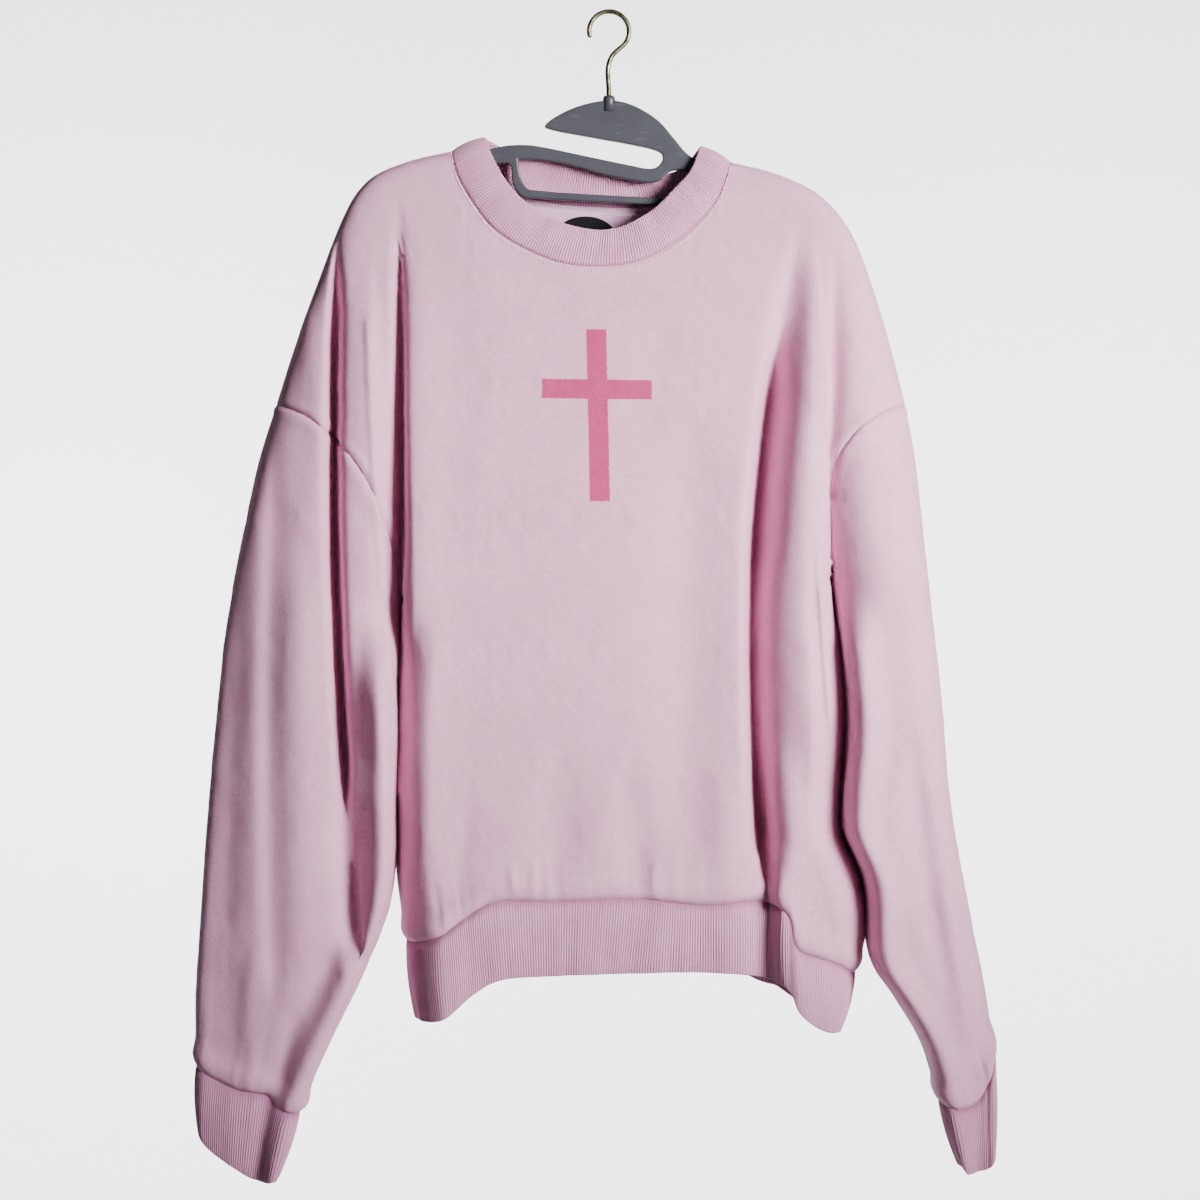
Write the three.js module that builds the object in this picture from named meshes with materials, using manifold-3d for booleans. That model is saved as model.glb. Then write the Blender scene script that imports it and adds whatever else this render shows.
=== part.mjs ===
import * as THREE from 'three';
import { mergeVertices } from 'three/addons/utils/BufferGeometryUtils.js';
import Module from 'manifold-3d';

// A crewneck sweatshirt with drop shoulders on a plastic hanger. Millimetres, +Z up, front faces -Y.
// The origin is the underside of the hook's crown, where a rail or a peg carries the hanger.

// Driving dimensions
const CLOTH = 2.5;
const RIB_CLOTH = 3;
const RIB_HEIGHT = 0.9;
const SEAM_GAP = 0.3;
const TURN_EASE = 1.2;
const HANGER_THICKNESS = 6;
const HANGER_BEVEL = 1.2;
const ARM_HEIGHT = 13;
const ARM_SHARES = [0.68, 0.7, 0.73, 0.78, 0.85, 0.93, 1];
const NECK_SHARE = 0.25;
const ARM_CLEARANCE = 5.3;
const NECK_CLEARANCE = 2.6;
const WIRE_RADIUS = 2;
const BOWL_RADIUS = 16;
const BODY_ROUNDING = { front: { left: 26, right: 26 }, back: { left: 50, right: 50 } };
const SIDE_STAGGER = 20;
const ARMHOLE_STEPS = 12;
const SIDE_STEPS = 11;
const SHOULDER_STEPS = 10;
const FRONT_NECK_STEPS = 14;
const BACK_NECK_STEPS = 8;
const SLEEVE_STEPS = 17;
const HEM_SHARE = { left: 0.2, right: 0.76 };
const ROW_CROWDING = 1.5;
const UNDERARM_CROWDING = 1.8;
const SIDE_EASE = 0.3;
const NECK_EASE = 0.9;
const CUFF_EASE = 0.7;
const LENGTH_EASE = 0.15;
const CURVE_POINTS = 90;
const SILHOUETTE_POINTS = 50;
const EDGE_POINTS = 240;
const SIDE_PULL = {
  left: { top: 9, low: 3.4, lowFrom: 0.36 },
  right: { top: 5, low: 2.2, lowFrom: 0.3 },
};

// Rib bands: outer columns for each panel column, rows from seam to edge, and how far they bow out
const COLLAR_BAND = { finer: 8, rows: 3, bow: 1.5 };
const HEM_BAND = { finer: 4, rows: 2, bow: 2 };
const CUFF_BAND = { finer: 3, rows: 2, bow: 1.5 };

const CLOTH_COLOUR = '#dbbac9';
const HANGER_COLOUR = '#666872';
const WIRE_COLOUR = '#8d8577';

// Outlines in the front view, each row one point of a smooth curve
const SHOULDER_LEFT = [
  { x: -266, z: -312 }, { x: -255, z: -277 }, { x: -244, z: -245 }, { x: -232, z: -213 },
  { x: -220, z: -181 }, { x: -212, z: -162 }, { x: -202, z: -144 }, { x: -188, z: -130 },
  { x: -160, z: -118 }, { x: -126, z: -110 },
];
const SHOULDER_RIGHT = [
  { x: 98, z: -119 }, { x: 127, z: -126 }, { x: 155, z: -137 }, { x: 173, z: -149 },
  { x: 188, z: -166 }, { x: 198, z: -184 }, { x: 209, z: -213 }, { x: 219, z: -245 },
  { x: 228, z: -277 }, { x: 237, z: -313 },
];
const OUTER_LEFT = [
  { x: -266, z: -312 }, { x: -280, z: -357 }, { x: -294, z: -421 }, { x: -306, z: -485 },
  { x: -313, z: -549 }, { x: -319, z: -613 }, { x: -324, z: -677 }, { x: -327, z: -725 },
  { x: -331, z: -785 }, { x: -330, z: -840 },
];
const INNER_LEFT = [
  { x: -165, z: -469 }, { x: -168, z: -549 }, { x: -168, z: -621 }, { x: -168, z: -668 },
  { x: -173, z: -709 }, { x: -184, z: -741 }, { x: -198, z: -773 }, { x: -214, z: -805 },
  { x: -229, z: -837 }, { x: -245, z: -874 },
];
const OUTER_RIGHT = [
  { x: 237, z: -313 }, { x: 245, z: -357 }, { x: 252, z: -421 }, { x: 259, z: -485 },
  { x: 266, z: -549 }, { x: 271, z: -613 }, { x: 279, z: -668 }, { x: 290, z: -725 },
  { x: 301, z: -782 }, { x: 307, z: -824 },
];
const INNER_RIGHT = [
  { x: 176, z: -453 }, { x: 181, z: -485 }, { x: 186, z: -533 }, { x: 187, z: -574 },
  { x: 183, z: -624 }, { x: 184, z: -649 }, { x: 200, z: -690 }, { x: 206, z: -752 },
  { x: 226, z: -784 }, { x: 246, z: -818 }, { x: 261, z: -864 },
];
const SIDE_LEFT = [
  { x: -165, z: -469 }, { x: -166.4, z: -488 }, { x: -172, z: -549 }, { x: -173, z: -629 },
  { x: -171, z: -693 }, { x: -163, z: -740 },
];
const SIDE_RIGHT = [
  { x: 176, z: -453 }, { x: 178.2, z: -474 }, { x: 183, z: -500 }, { x: 190, z: -549 },
  { x: 187, z: -621 }, { x: 188, z: -653 }, { x: 203, z: -690 }, { x: 208, z: -728 },
  { x: 198, z: -766 },
];
const ARMHOLE_LEFT = [
  { x: -266, z: -312 }, { x: -236, z: -326 }, { x: -214, z: -345 }, { x: -194, z: -369 },
  { x: -180, z: -397 }, { x: -169, z: -432 }, { x: -165, z: -469 },
];
const ARMHOLE_RIGHT = [
  { x: 237, z: -313 }, { x: 215, z: -321 }, { x: 192, z: -338 }, { x: 179, z: -358 },
  { x: 174, z: -390 }, { x: 174, z: -422 }, { x: 176, z: -453 },
];
const VALLEY_LEFT = [
  { x: -166, z: -150 }, { x: -166, z: -260 }, { x: -165, z: -390 }, { x: -165, z: -469 },
];
const VALLEY_RIGHT = [
  { x: 166, z: -150 }, { x: 169, z: -260 }, { x: 174, z: -390 }, { x: 176, z: -453 },
];

// Rib bands: each row is a station of the seam and of the free edge below or inside it
const NECK_FRONT = [
  { x: -126, z: -110, edgeX: -100, edgeZ: -99, lean: 0 },
  { x: -122, z: -128, edgeX: -96, edgeZ: -111, lean: -2 },
  { x: -108, z: -150, edgeX: -85, edgeZ: -131, lean: -1 },
  { x: -90, z: -171, edgeX: -70, edgeZ: -149, lean: 1 },
  { x: -65, z: -189, edgeX: -51, edgeZ: -163, lean: 3 },
  { x: -38, z: -199, edgeX: -29, edgeZ: -171, lean: 4 },
  { x: -8, z: -202, edgeX: -5, edgeZ: -174, lean: 5 },
  { x: 22, z: -198, edgeX: 16, edgeZ: -169, lean: 4 },
  { x: 49, z: -187, edgeX: 36, edgeZ: -158, lean: 3 },
  { x: 71, z: -169, edgeX: 53, edgeZ: -142, lean: 1 },
  { x: 88, z: -146, edgeX: 66, edgeZ: -127, lean: -1 },
  { x: 98, z: -119, edgeX: 74, edgeZ: -106, lean: 0 },
];
const NECK_BACK = [
  { x: -126, z: -110, edgeX: -100, edgeZ: -99, lean: 0 },
  { x: -104, z: -130, edgeX: -80, edgeZ: -109, lean: -1 },
  { x: -62, z: -146, edgeX: -50, edgeZ: -117, lean: -5 },
  { x: -12, z: -152, edgeX: -10, edgeZ: -124, lean: -7 },
  { x: 38, z: -151, edgeX: 30, edgeZ: -129, lean: -5 },
  { x: 76, z: -141, edgeX: 58, edgeZ: -123, lean: -1 },
  { x: 98, z: -119, edgeX: 74, edgeZ: -106, lean: 0 },
];
const HEM_FRONT = [
  { x: -163, z: -740, edgeX: -157, edgeZ: -803, lean: 0 },
  { x: -134, z: -734, edgeX: -130, edgeZ: -801, lean: 2 },
  { x: -112, z: -720, edgeX: -108, edgeZ: -784, lean: 3 },
  { x: -92, z: -709, edgeX: -88, edgeZ: -772, lean: 4 },
  { x: -45, z: -709, edgeX: -45, edgeZ: -769, lean: 4 },
  { x: 21, z: -706, edgeX: 15, edgeZ: -767, lean: 4 },
  { x: 73, z: -712, edgeX: 73, edgeZ: -766, lean: 4 },
  { x: 118, z: -708, edgeX: 119, edgeZ: -770, lean: 4 },
  { x: 138, z: -719, edgeX: 139, edgeZ: -778, lean: 3 },
  { x: 148, z: -741, edgeX: 149, edgeZ: -796, lean: 3 },
  { x: 174, z: -754, edgeX: 168, edgeZ: -811, lean: 2 },
  { x: 198, z: -766, edgeX: 188, edgeZ: -814, lean: 0 },
];
const HEM_BACK = [
  { x: -163, z: -740, edgeX: -157, edgeZ: -803, lean: 0 },
  { x: -120, z: -726, edgeX: -116, edgeZ: -787, lean: -3 },
  { x: -70, z: -712, edgeX: -68, edgeZ: -770, lean: -4 },
  { x: 0, z: -706, edgeX: 0, edgeZ: -764, lean: -4 },
  { x: 70, z: -708, edgeX: 68, edgeZ: -765, lean: -4 },
  { x: 120, z: -722, edgeX: 117, edgeZ: -777, lean: -4 },
  { x: 160, z: -745, edgeX: 155, edgeZ: -797, lean: -3 },
  { x: 198, z: -766, edgeX: 188, edgeZ: -814, lean: 0 },
];
const CUFF_LEFT_FRONT = [
  { x: -330, z: -840, edgeX: -330, edgeZ: -891, lean: 0 },
  { x: -318, z: -847, edgeX: -320, edgeZ: -907, lean: 1 },
  { x: -294, z: -857, edgeX: -298, edgeZ: -922, lean: 1 },
  { x: -268, z: -863, edgeX: -279, edgeZ: -931, lean: 1 },
  { x: -245, z: -874, edgeX: -261, edgeZ: -930, lean: 0 },
];
const CUFF_LEFT_BACK = [
  { x: -330, z: -840, edgeX: -330, edgeZ: -891, lean: 0 },
  { x: -290, z: -852, edgeX: -297, edgeZ: -914, lean: -1 },
  { x: -245, z: -874, edgeX: -261, edgeZ: -930, lean: 0 },
];
const CUFF_RIGHT_FRONT = [
  { x: 307, z: -824, edgeX: 306, edgeZ: -911, lean: 0 },
  { x: 298, z: -852, edgeX: 300, edgeZ: -921, lean: 2 },
  { x: 288, z: -866, edgeX: 291, edgeZ: -924, lean: 3 },
  { x: 274, z: -869, edgeX: 282, edgeZ: -924, lean: 2 },
  { x: 261, z: -864, edgeX: 276, edgeZ: -919, lean: 0 },
];
const CUFF_RIGHT_BACK = [
  { x: 307, z: -824, edgeX: 306, edgeZ: -911, lean: 0 },
  { x: 284, z: -846, edgeX: 291, edgeZ: -918, lean: -2 },
  { x: 261, z: -864, edgeX: 276, edgeZ: -919, lean: 0 },
];

// How far the cloth stands off the middle plane at each height, and how wide its outer rounding is
const STAND_OFF = [
  { z: -100, front: { left: 9, body: 9, right: 9 }, back: { left: 9, body: 9, right: 9 },
    rounding: 11 },
  { z: -130, front: { left: 11, body: 11, right: 11 }, back: { left: 11, body: 11, right: 11 },
    rounding: 14 },
  { z: -160, front: { left: 15, body: 16, right: 15 }, back: { left: 15, body: 18, right: 15 },
    rounding: 20 },
  { z: -200, front: { left: 22, body: 25, right: 22 }, back: { left: 22, body: 26, right: 24 },
    rounding: 32 },
  { z: -260, front: { left: 30, body: 34, right: 34 }, back: { left: 29, body: 36, right: 34 },
    rounding: 45 },
  { z: -320, front: { left: 37, body: 41, right: 43 }, back: { left: 34, body: 44, right: 42 },
    rounding: 60 },
  { z: -420, front: { left: 41, body: 47, right: 53 }, back: { left: 38, body: 54, right: 50 },
    rounding: 75 },
  { z: -540, front: { left: 42, body: 52, right: 58 }, back: { left: 40, body: 62, right: 56 },
    rounding: 85 },
  { z: -700, front: { left: 38, body: 56, right: 56 }, back: { left: 38, body: 66, right: 56 },
    rounding: 90 },
  { z: -780, front: { left: 33, body: 57, right: 48 }, back: { left: 34, body: 66, right: 48 },
    rounding: 90 },
  { z: -880, front: { left: 20, body: 56, right: 29 }, back: { left: 20, body: 64, right: 29 },
    rounding: 90 },
];

// Folds: a path down the cloth, how far it rises (below zero it sinks), and how wide it is on each side
const FRONT_FOLDS = [
  {
    path: [{ x: -214, z: -172 }, { x: -217, z: -240 }, { x: -218, z: -330 }, { x: -216, z: -430 },
      { x: -209, z: -570 }, { x: -201, z: -690 }, { x: -190, z: -790 }],
    rise: -21, left: 12, right: 15,
  },
  {
    path: [{ x: -188, z: -190 }, { x: -187, z: -320 }, { x: -178, z: -470 }, { x: -172, z: -600 }],
    rise: 5, left: 13, right: 6,
  },
  {
    path: [{ x: -150, z: -170 }, { x: -152, z: -300 }, { x: -150, z: -520 }, { x: -147, z: -700 }],
    rise: 4, left: 9, right: 22,
  },
  {
    path: [{ x: 150, z: -180 }, { x: 134, z: -240 }, { x: 125, z: -310 }, { x: 117, z: -400 },
      { x: 114, z: -480 }, { x: 115, z: -570 }, { x: 119, z: -640 }, { x: 124, z: -710 },
      { x: 131, z: -800 }],
    rise: -19, left: 14, right: 19,
  },
  {
    path: [{ x: 136, z: -600 }, { x: 139, z: -660 }, { x: 143, z: -730 }, { x: 148, z: -830 }],
    rise: 6, left: 10, right: 22,
  },
  {
    path: [{ x: 160, z: -190 }, { x: 155, z: -330 }, { x: 152, z: -470 }, { x: 160, z: -620 }],
    rise: 6, left: 12, right: 9,
  },
  {
    path: [{ x: -268, z: -400 }, { x: -275, z: -540 }, { x: -274, z: -700 }, { x: -270, z: -880 }],
    rise: -9, left: 14, right: 18,
  },
  {
    path: [{ x: -240, z: -520 }, { x: -238, z: -650 }, { x: -244, z: -800 }],
    rise: 5, left: 16, right: 20,
  },
  {
    path: [{ x: -38, z: -560 }, { x: -40, z: -640 }, { x: -44, z: -720 }],
    rise: -4, left: 22, right: 22,
  },
  {
    path: [{ x: 14, z: -580 }, { x: 20, z: -650 }, { x: 26, z: -720 }],
    rise: -4, left: 18, right: 18,
  },
  {
    path: [{ x: 66, z: -300 }, { x: 62, z: -480 }, { x: 60, z: -700 }],
    rise: -5, left: 26, right: 30,
  },
  {
    path: [{ x: 236, z: -560 }, { x: 250, z: -690 }, { x: 278, z: -820 }],
    rise: -7, left: 14, right: 12,
  },
];
const BACK_FOLDS = [
  {
    path: [{ x: -205, z: -190 }, { x: -212, z: -330 }, { x: -205, z: -500 }, { x: -208, z: -700 }],
    rise: -16, left: 12, right: 10,
  },
  {
    path: [{ x: -128, z: -180 }, { x: -118, z: -330 }, { x: -112, z: -500 }, { x: -116, z: -760 }],
    rise: -18, left: 12, right: 15,
  },
  {
    path: [{ x: -40, z: -260 }, { x: -34, z: -440 }, { x: -38, z: -700 }],
    rise: -7, left: 26, right: 22,
  },
  {
    path: [{ x: 60, z: -250 }, { x: 52, z: -430 }, { x: 58, z: -720 }],
    rise: -9, left: 20, right: 25,
  },
  {
    path: [{ x: 134, z: -190 }, { x: 126, z: -360 }, { x: 122, z: -540 }, { x: 128, z: -770 }],
    rise: -17, left: 13, right: 12,
  },
  {
    path: [{ x: 224, z: -400 }, { x: 232, z: -560 }, { x: 250, z: -720 }],
    rise: -10, left: 14, right: 13,
  },
  {
    path: [{ x: -262, z: -430 }, { x: -268, z: -600 }, { x: -274, z: -780 }],
    rise: -8, left: 15, right: 16,
  },
];
const EDGE_SLACK = 0.4;
const EDGE_POWER = 2.2;
const FOLD_FADE = 45;
const FULL_STAND_OFF = 45;
const VALLEY_TOP = -160;
const VALLEY_SOFTNESS = 14;
const VALLEY_POWER = 1.2;
const TURN_DROP = 60;
const TURN_REACH = 45;
const COLUMN_SOFTNESS = 9;
const SADDLE_SHARE = 0.2;
const SADDLE_REACH = 24;

// Hanger outline in the front view between its two arms, and the window over the trouser bar
const SLOT_LOWER_EDGE = [
  { x: -85, z: -106 }, { x: -66, z: -105 }, { x: -54, z: -106.5 }, { x: -18, z: -114 },
  { x: 18, z: -121.5 }, { x: 33, z: -124 },
];
const SLOT_END = [{ x: 39, z: -122 }, { x: 42.5, z: -117 }, { x: 42, z: -112.5 }, { x: 37, z: -109.5 }];
const HEAD_EDGE = [
  { x: 18, z: -105 }, { x: -18, z: -98.5 }, { x: -46, z: -93 }, { x: -51.5, z: -90.5 }, { x: -48, z: -86 },
  { x: -30, z: -76 }, { x: -8, z: -70 }, { x: 8, z: -70 }, { x: 23, z: -75 }, { x: 40, z: -86 },
  { x: 53, z: -101 }, { x: 65, z: -114 },
];
const UNDERSIDE_RIGHT = [
  { x: 92, z: -141 }, { x: 88, z: -152 }, { x: 80, z: -157 }, { x: 44, z: -153.5 }, { x: -61, z: -147.5 },
  { x: -70, z: -146 }, { x: -77, z: -136 }, { x: -80, z: -120 },
];
const WINDOW = [
  { x: -73, z: -116.5 }, { x: -56, z: -117 }, { x: -32, z: -121 }, { x: -3, z: -129 }, { x: 26, z: -134.5 },
  { x: 34, z: -135 }, { x: 41, z: -133 }, { x: 48, z: -126.5 }, { x: 55, z: -125 }, { x: 63, z: -126 },
  { x: 80, z: -134 }, { x: 82, z: -146 }, { x: 77, z: -150.5 }, { x: 46, z: -148 }, { x: -58, z: -141.5 },
  { x: -65, z: -140 }, { x: -70, z: -133 },
];
const BOSS = { radius: 5, top: -65.5, bottom: -78, bore: 2.35, boreBottom: -76 };
const WIRE_FOOT = { x: 0, z: -75.7 };
const WIRE_BEND = [{ x: -0.3, z: -60 }, { x: -0.8, z: -43 }, { x: 2.5, z: -33.5 }];
const BOWL_START = -0.62;
const BOWL_END = 3.45;
const BOWL_POINTS = 12;
const WIRE_STEPS = 44;
const ROUND_SIDES = 16;

const mix = (a, b, share) => a + (b - a) * share;
const clamp = (value) => Math.min(Math.max(value, 0), 1);
const smooth = (value) => clamp(value) ** 2 * (3 - 2 * clamp(value));

// Height of a round edge, from 0 at the edge to 1 at its reach
function rounding(distance, reach) {
  const away = 1 - clamp((distance - EDGE_SLACK) / reach);
  return (1 - away ** EDGE_POWER) ** (1 / EDGE_POWER);
}

function curveThrough(rows, xName = 'x', zName = 'z') {
  const points = rows.map((row) => new THREE.Vector3(row[xName], 0, row[zName]));
  return new THREE.CatmullRomCurve3(points, false, 'centripetal');
}

// A curve that runs down the cloth, read as x at a height
function acrossAt(rows) {
  const points = curveThrough(rows).getPoints(CURVE_POINTS);
  return (z) => {
    const next = Math.max(points.findIndex((point) => point.z <= z), 0) || points.length - 1;
    if (z >= points[0].z) {
      return points[0].x;
    }
    const [a, b] = [points[next - 1], points[next]];
    return mix(a.x, b.x, clamp((a.z - z) / (a.z - b.z)));
  };
}

function standOffAt(side, column, z) {
  const value = (row) => (side ? row[side][column] : row[column]);
  const next = STAND_OFF.findIndex((row) => row.z <= z);
  if (next === 0) {
    return value(STAND_OFF[0]);
  }
  if (next < 0) {
    return value(STAND_OFF[STAND_OFF.length - 1]);
  }
  const [a, b] = [STAND_OFF[next - 1], STAND_OFF[next]];
  return mix(value(a), value(b), (a.z - z) / (a.z - b.z));
}

const shoulderLeft = curveThrough(SHOULDER_LEFT);
const shoulderRight = curveThrough(SHOULDER_RIGHT);
const linePoints = (curve) => curve.getPoints(SILHOUETTE_POINTS);
const silhouette = [
  [...linePoints(curveThrough(OUTER_LEFT)).reverse(), ...linePoints(shoulderLeft)],
  [...linePoints(shoulderRight), ...linePoints(curveThrough(OUTER_RIGHT))],
];
const edgeAt = {
  outerLeft: acrossAt([...SHOULDER_LEFT.slice().reverse(), ...OUTER_LEFT.slice(1)]),
  outerRight: acrossAt([...SHOULDER_RIGHT, ...OUTER_RIGHT.slice(1)]),
  innerLeft: acrossAt(INNER_LEFT),
  innerRight: acrossAt(INNER_RIGHT),
  sideLeft: acrossAt(SIDE_LEFT),
  sideRight: acrossAt(SIDE_RIGHT),
  valleyLeft: acrossAt(VALLEY_LEFT),
  valleyRight: acrossAt(VALLEY_RIGHT),
};
const UNDERARM_LEFT = INNER_LEFT[0].z;
const UNDERARM_RIGHT = INNER_RIGHT[0].z;

function distanceToSilhouette(x, z) {
  let nearest = Infinity;
  for (const line of silhouette) {
    for (let i = 1; i < line.length; i += 1) {
      const [a, b] = [line[i - 1], line[i]];
      const [dx, dz] = [b.x - a.x, b.z - a.z];
      const along = clamp(((x - a.x) * dx + (z - a.z) * dz) / (dx * dx + dz * dz || 1));
      nearest = Math.min(nearest, Math.hypot(x - a.x - along * dx, z - a.z - along * dz));
    }
  }
  return nearest;
}

// The valley between body and sleeve: open at the top, and a round saddle at the underarm
function splitFactor(distance, reach, z, underarm) {
  const above = z - underarm;
  const open = SADDLE_SHARE * rounding(above, SADDLE_REACH)
    + (1 - SADDLE_SHARE) * smooth(above / (VALLEY_TOP - underarm)) ** VALLEY_POWER;
  const soft = Math.hypot(distance, VALLEY_SOFTNESS * open);
  return open + (1 - open) * rounding(soft, reach);
}

const foldCurves = { front: FRONT_FOLDS, back: BACK_FOLDS };
for (const folds of Object.values(foldCurves)) {
  for (const fold of folds) {
    fold.across = acrossAt(fold.path);
  }
}

function foldRise(side, x, z) {
  let rise = 0;
  for (const fold of foldCurves[side]) {
    const top = fold.path[0].z;
    const bottom = fold.path[fold.path.length - 1].z;
    const away = x - fold.across(z);
    const width = away < 0 ? fold.left : fold.right;
    const fade = smooth((top - z) / FOLD_FADE) * smooth((z - bottom) / FOLD_FADE);
    rise += fold.rise * fade * Math.exp(-((away / width) ** 2));
  }
  return rise;
}

// Where the cloth lies in depth at a place of the front view
function clothPoint(piece, side, x, z) {
  const belowLeft = z < UNDERARM_LEFT;
  const belowRight = z < UNDERARM_RIGHT;
  const limitLeft = belowLeft ? edgeAt.innerLeft(z) : edgeAt.valleyLeft(z);
  const limitRight = belowRight ? edgeAt.innerRight(z) : edgeAt.valleyRight(z);
  const halfLeft = (limitLeft - edgeAt.outerLeft(z)) / 2;
  const halfRight = (edgeAt.outerRight(z) - limitRight) / 2;
  let shape = 1;
  let shift = 0;
  if (piece !== 'right') {
    const inner = piece === 'left' ? edgeAt.innerLeft(z) : edgeAt.sideLeft(z);
    const line = belowLeft ? inner : edgeAt.valleyLeft(z);
    const distance = Math.abs(x - line);
    const wide = x < line ? halfLeft : BODY_ROUNDING[side].left;
    shape *= splitFactor(distance, wide, z, UNDERARM_LEFT);
    const turn = smooth((UNDERARM_LEFT - z) / TURN_DROP) * (1 - smooth(distance / TURN_REACH));
    shift += (piece === 'left' ? -1 : 1) * SIDE_STAGGER * turn;
  }
  if (piece !== 'left') {
    const inner = piece === 'right' ? edgeAt.innerRight(z) : edgeAt.sideRight(z);
    const line = belowRight ? inner : edgeAt.valleyRight(z);
    const distance = Math.abs(x - line);
    const wide = x > line ? halfRight : BODY_ROUNDING[side].right;
    shape *= splitFactor(distance, wide, z, UNDERARM_RIGHT);
    const turn = smooth((UNDERARM_RIGHT - z) / TURN_DROP) * (1 - smooth(distance / TURN_REACH));
    shift += (piece === 'right' ? -1 : 1) * SIDE_STAGGER * turn;
  }
  let reach = standOffAt('', 'rounding', z);
  if (piece === 'left') {
    reach = Math.min(reach, halfLeft);
  }
  if (piece === 'right') {
    reach = Math.min(reach, halfRight);
  }
  shape *= rounding(distanceToSilhouette(x, z), reach);
  const toLeft = 1 / (1 + Math.exp((x - edgeAt.valleyLeft(z)) / COLUMN_SOFTNESS));
  const toRight = 1 / (1 + Math.exp((edgeAt.valleyRight(z) - x) / COLUMN_SOFTNESS));
  const body = standOffAt(side, 'body', z);
  const standOff = body + (standOffAt(side, 'left', z) - body) * toLeft
    + (standOffAt(side, 'right', z) - body) * toRight;
  const depth = standOff * (1 + foldRise(side, x, z) / FULL_STAND_OFF) * shape;
  return new THREE.Vector3(x, shift + (side === 'front' ? -depth : depth), z);
}

// Steps that are closer together at both ends of a line
function easedSteps(count, ease) {
  return Array.from({ length: count + 1 }, (unused, i) => {
    const even = i / count;
    return mix(even, (1 - Math.cos(Math.PI * even)) / 2, ease);
  });
}

const pointsAt = (curve, shares) => shares.map((share) => curve.getPointAt(share));

// Fills a four-sided outline between its edges; the side weight says how far a side edge pulls a point
function fillPatch({ top, bottom, left, right, sideWeight, rowShare }) {
  const ruled = (i, j) => top[i].clone().lerp(bottom[i], rowShare[j]);
  const last = top.length - 1;
  return top.map((unusedTop, i) => left.map((unusedLeft, j) => {
    const point = ruled(i, j);
    const pull = (pulled, away) => sideWeight(pulled, away / last, rowShare[j]);
    point.addScaledVector(left[j].clone().sub(ruled(0, j)), pull('left', i));
    return point.addScaledVector(right[j].clone().sub(ruled(last, j)), pull('right', last - i));
  }));
}

const armholeSteps = Array.from({ length: ARMHOLE_STEPS + 1 }, (unused, i) => (
  1 - (1 - (i / ARMHOLE_STEPS) ** ROW_CROWDING) ** UNDERARM_CROWDING));
const sideSteps = easedSteps(SIDE_STEPS, SIDE_EASE);
const shoulderSteps = easedSteps(SHOULDER_STEPS, 0);
const armholeLeft = pointsAt(curveThrough(ARMHOLE_LEFT), armholeSteps);
const armholeRight = pointsAt(curveThrough(ARMHOLE_RIGHT), armholeSteps);

function bodyPatch(side, neckRows, hemRows, neckSteps) {
  const left = [...armholeLeft, ...pointsAt(curveThrough(SIDE_LEFT), sideSteps).slice(1)];
  const right = [...armholeRight, ...pointsAt(curveThrough(SIDE_RIGHT), sideSteps).slice(1)];
  const neck = pointsAt(curveThrough(neckRows), easedSteps(neckSteps, NECK_EASE));
  const shoulders = [pointsAt(shoulderLeft, shoulderSteps), pointsAt(shoulderRight, shoulderSteps)];
  const top = [...shoulders[0], ...neck.slice(1, -1), ...shoulders[1]];
  const hemShare = [
    ...shoulderSteps.map((share) => share * HEM_SHARE.left),
    ...easedSteps(neckSteps, 0).slice(1, -1).map((share) => mix(HEM_SHARE.left, HEM_SHARE.right, share)),
    ...shoulderSteps.map((share) => mix(HEM_SHARE.right, 1, share)),
  ];
  const bottom = pointsAt(curveThrough(hemRows), hemShare);
  const rowShare = left.map((unused, j) => (j / (left.length - 1)) ** ROW_CROWDING);
  const sideWeight = (pulled, away, down) => {
    const { top: high, low, lowFrom } = SIDE_PULL[pulled];
    return (1 - away) ** mix(high, low, smooth(down / lowFrom));
  };
  const flat = fillPatch({ top, bottom, left, right, sideWeight, rowShare });
  return flat.map((column) => column.map((point) => clothPoint('body', side, point.x, point.z)));
}

function sleevePatch(piece, side, armhole, outerRows, innerRows, cuffRows) {
  const lengthShare = easedSteps(SLEEVE_STEPS, LENGTH_EASE);
  const outer = pointsAt(curveThrough(outerRows), lengthShare);
  const inner = pointsAt(curveThrough(innerRows), lengthShare);
  const cuff = pointsAt(curveThrough(cuffRows), easedSteps(ARMHOLE_STEPS, CUFF_EASE));
  const flat = fillPatch({
    top: armhole,
    bottom: cuff,
    left: outer,
    right: inner,
    sideWeight: (pulled, away) => 1 - away,
    rowShare: lengthShare,
  });
  return flat.map((column) => column.map((point) => clothPoint(piece, side, point.x, point.z)));
}

// Front and back of a tube as one ring of columns, starting at its outer fold
const joinHalves = (front, back) => [...front, ...back.slice(1, -1).reverse()];

const panels = {
  front: { grid: bodyPatch('front', NECK_FRONT, HEM_FRONT, FRONT_NECK_STEPS), ring: false, flip: false },
  back: { grid: bodyPatch('back', NECK_BACK, HEM_BACK, BACK_NECK_STEPS), ring: false, flip: true },
  sleeve_left: {
    grid: joinHalves(
      sleevePatch('left', 'front', armholeLeft, OUTER_LEFT, INNER_LEFT, CUFF_LEFT_FRONT),
      sleevePatch('left', 'back', armholeLeft, OUTER_LEFT, INNER_LEFT, CUFF_LEFT_BACK),
    ),
    ring: true,
    flip: false,
  },
  sleeve_right: {
    grid: joinHalves(
      sleevePatch('right', 'front', armholeRight, OUTER_RIGHT, INNER_RIGHT, CUFF_RIGHT_FRONT),
      sleevePatch('right', 'back', armholeRight, OUTER_RIGHT, INNER_RIGHT, CUFF_RIGHT_BACK),
    ),
    ring: true,
    flip: true,
  },
};

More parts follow.
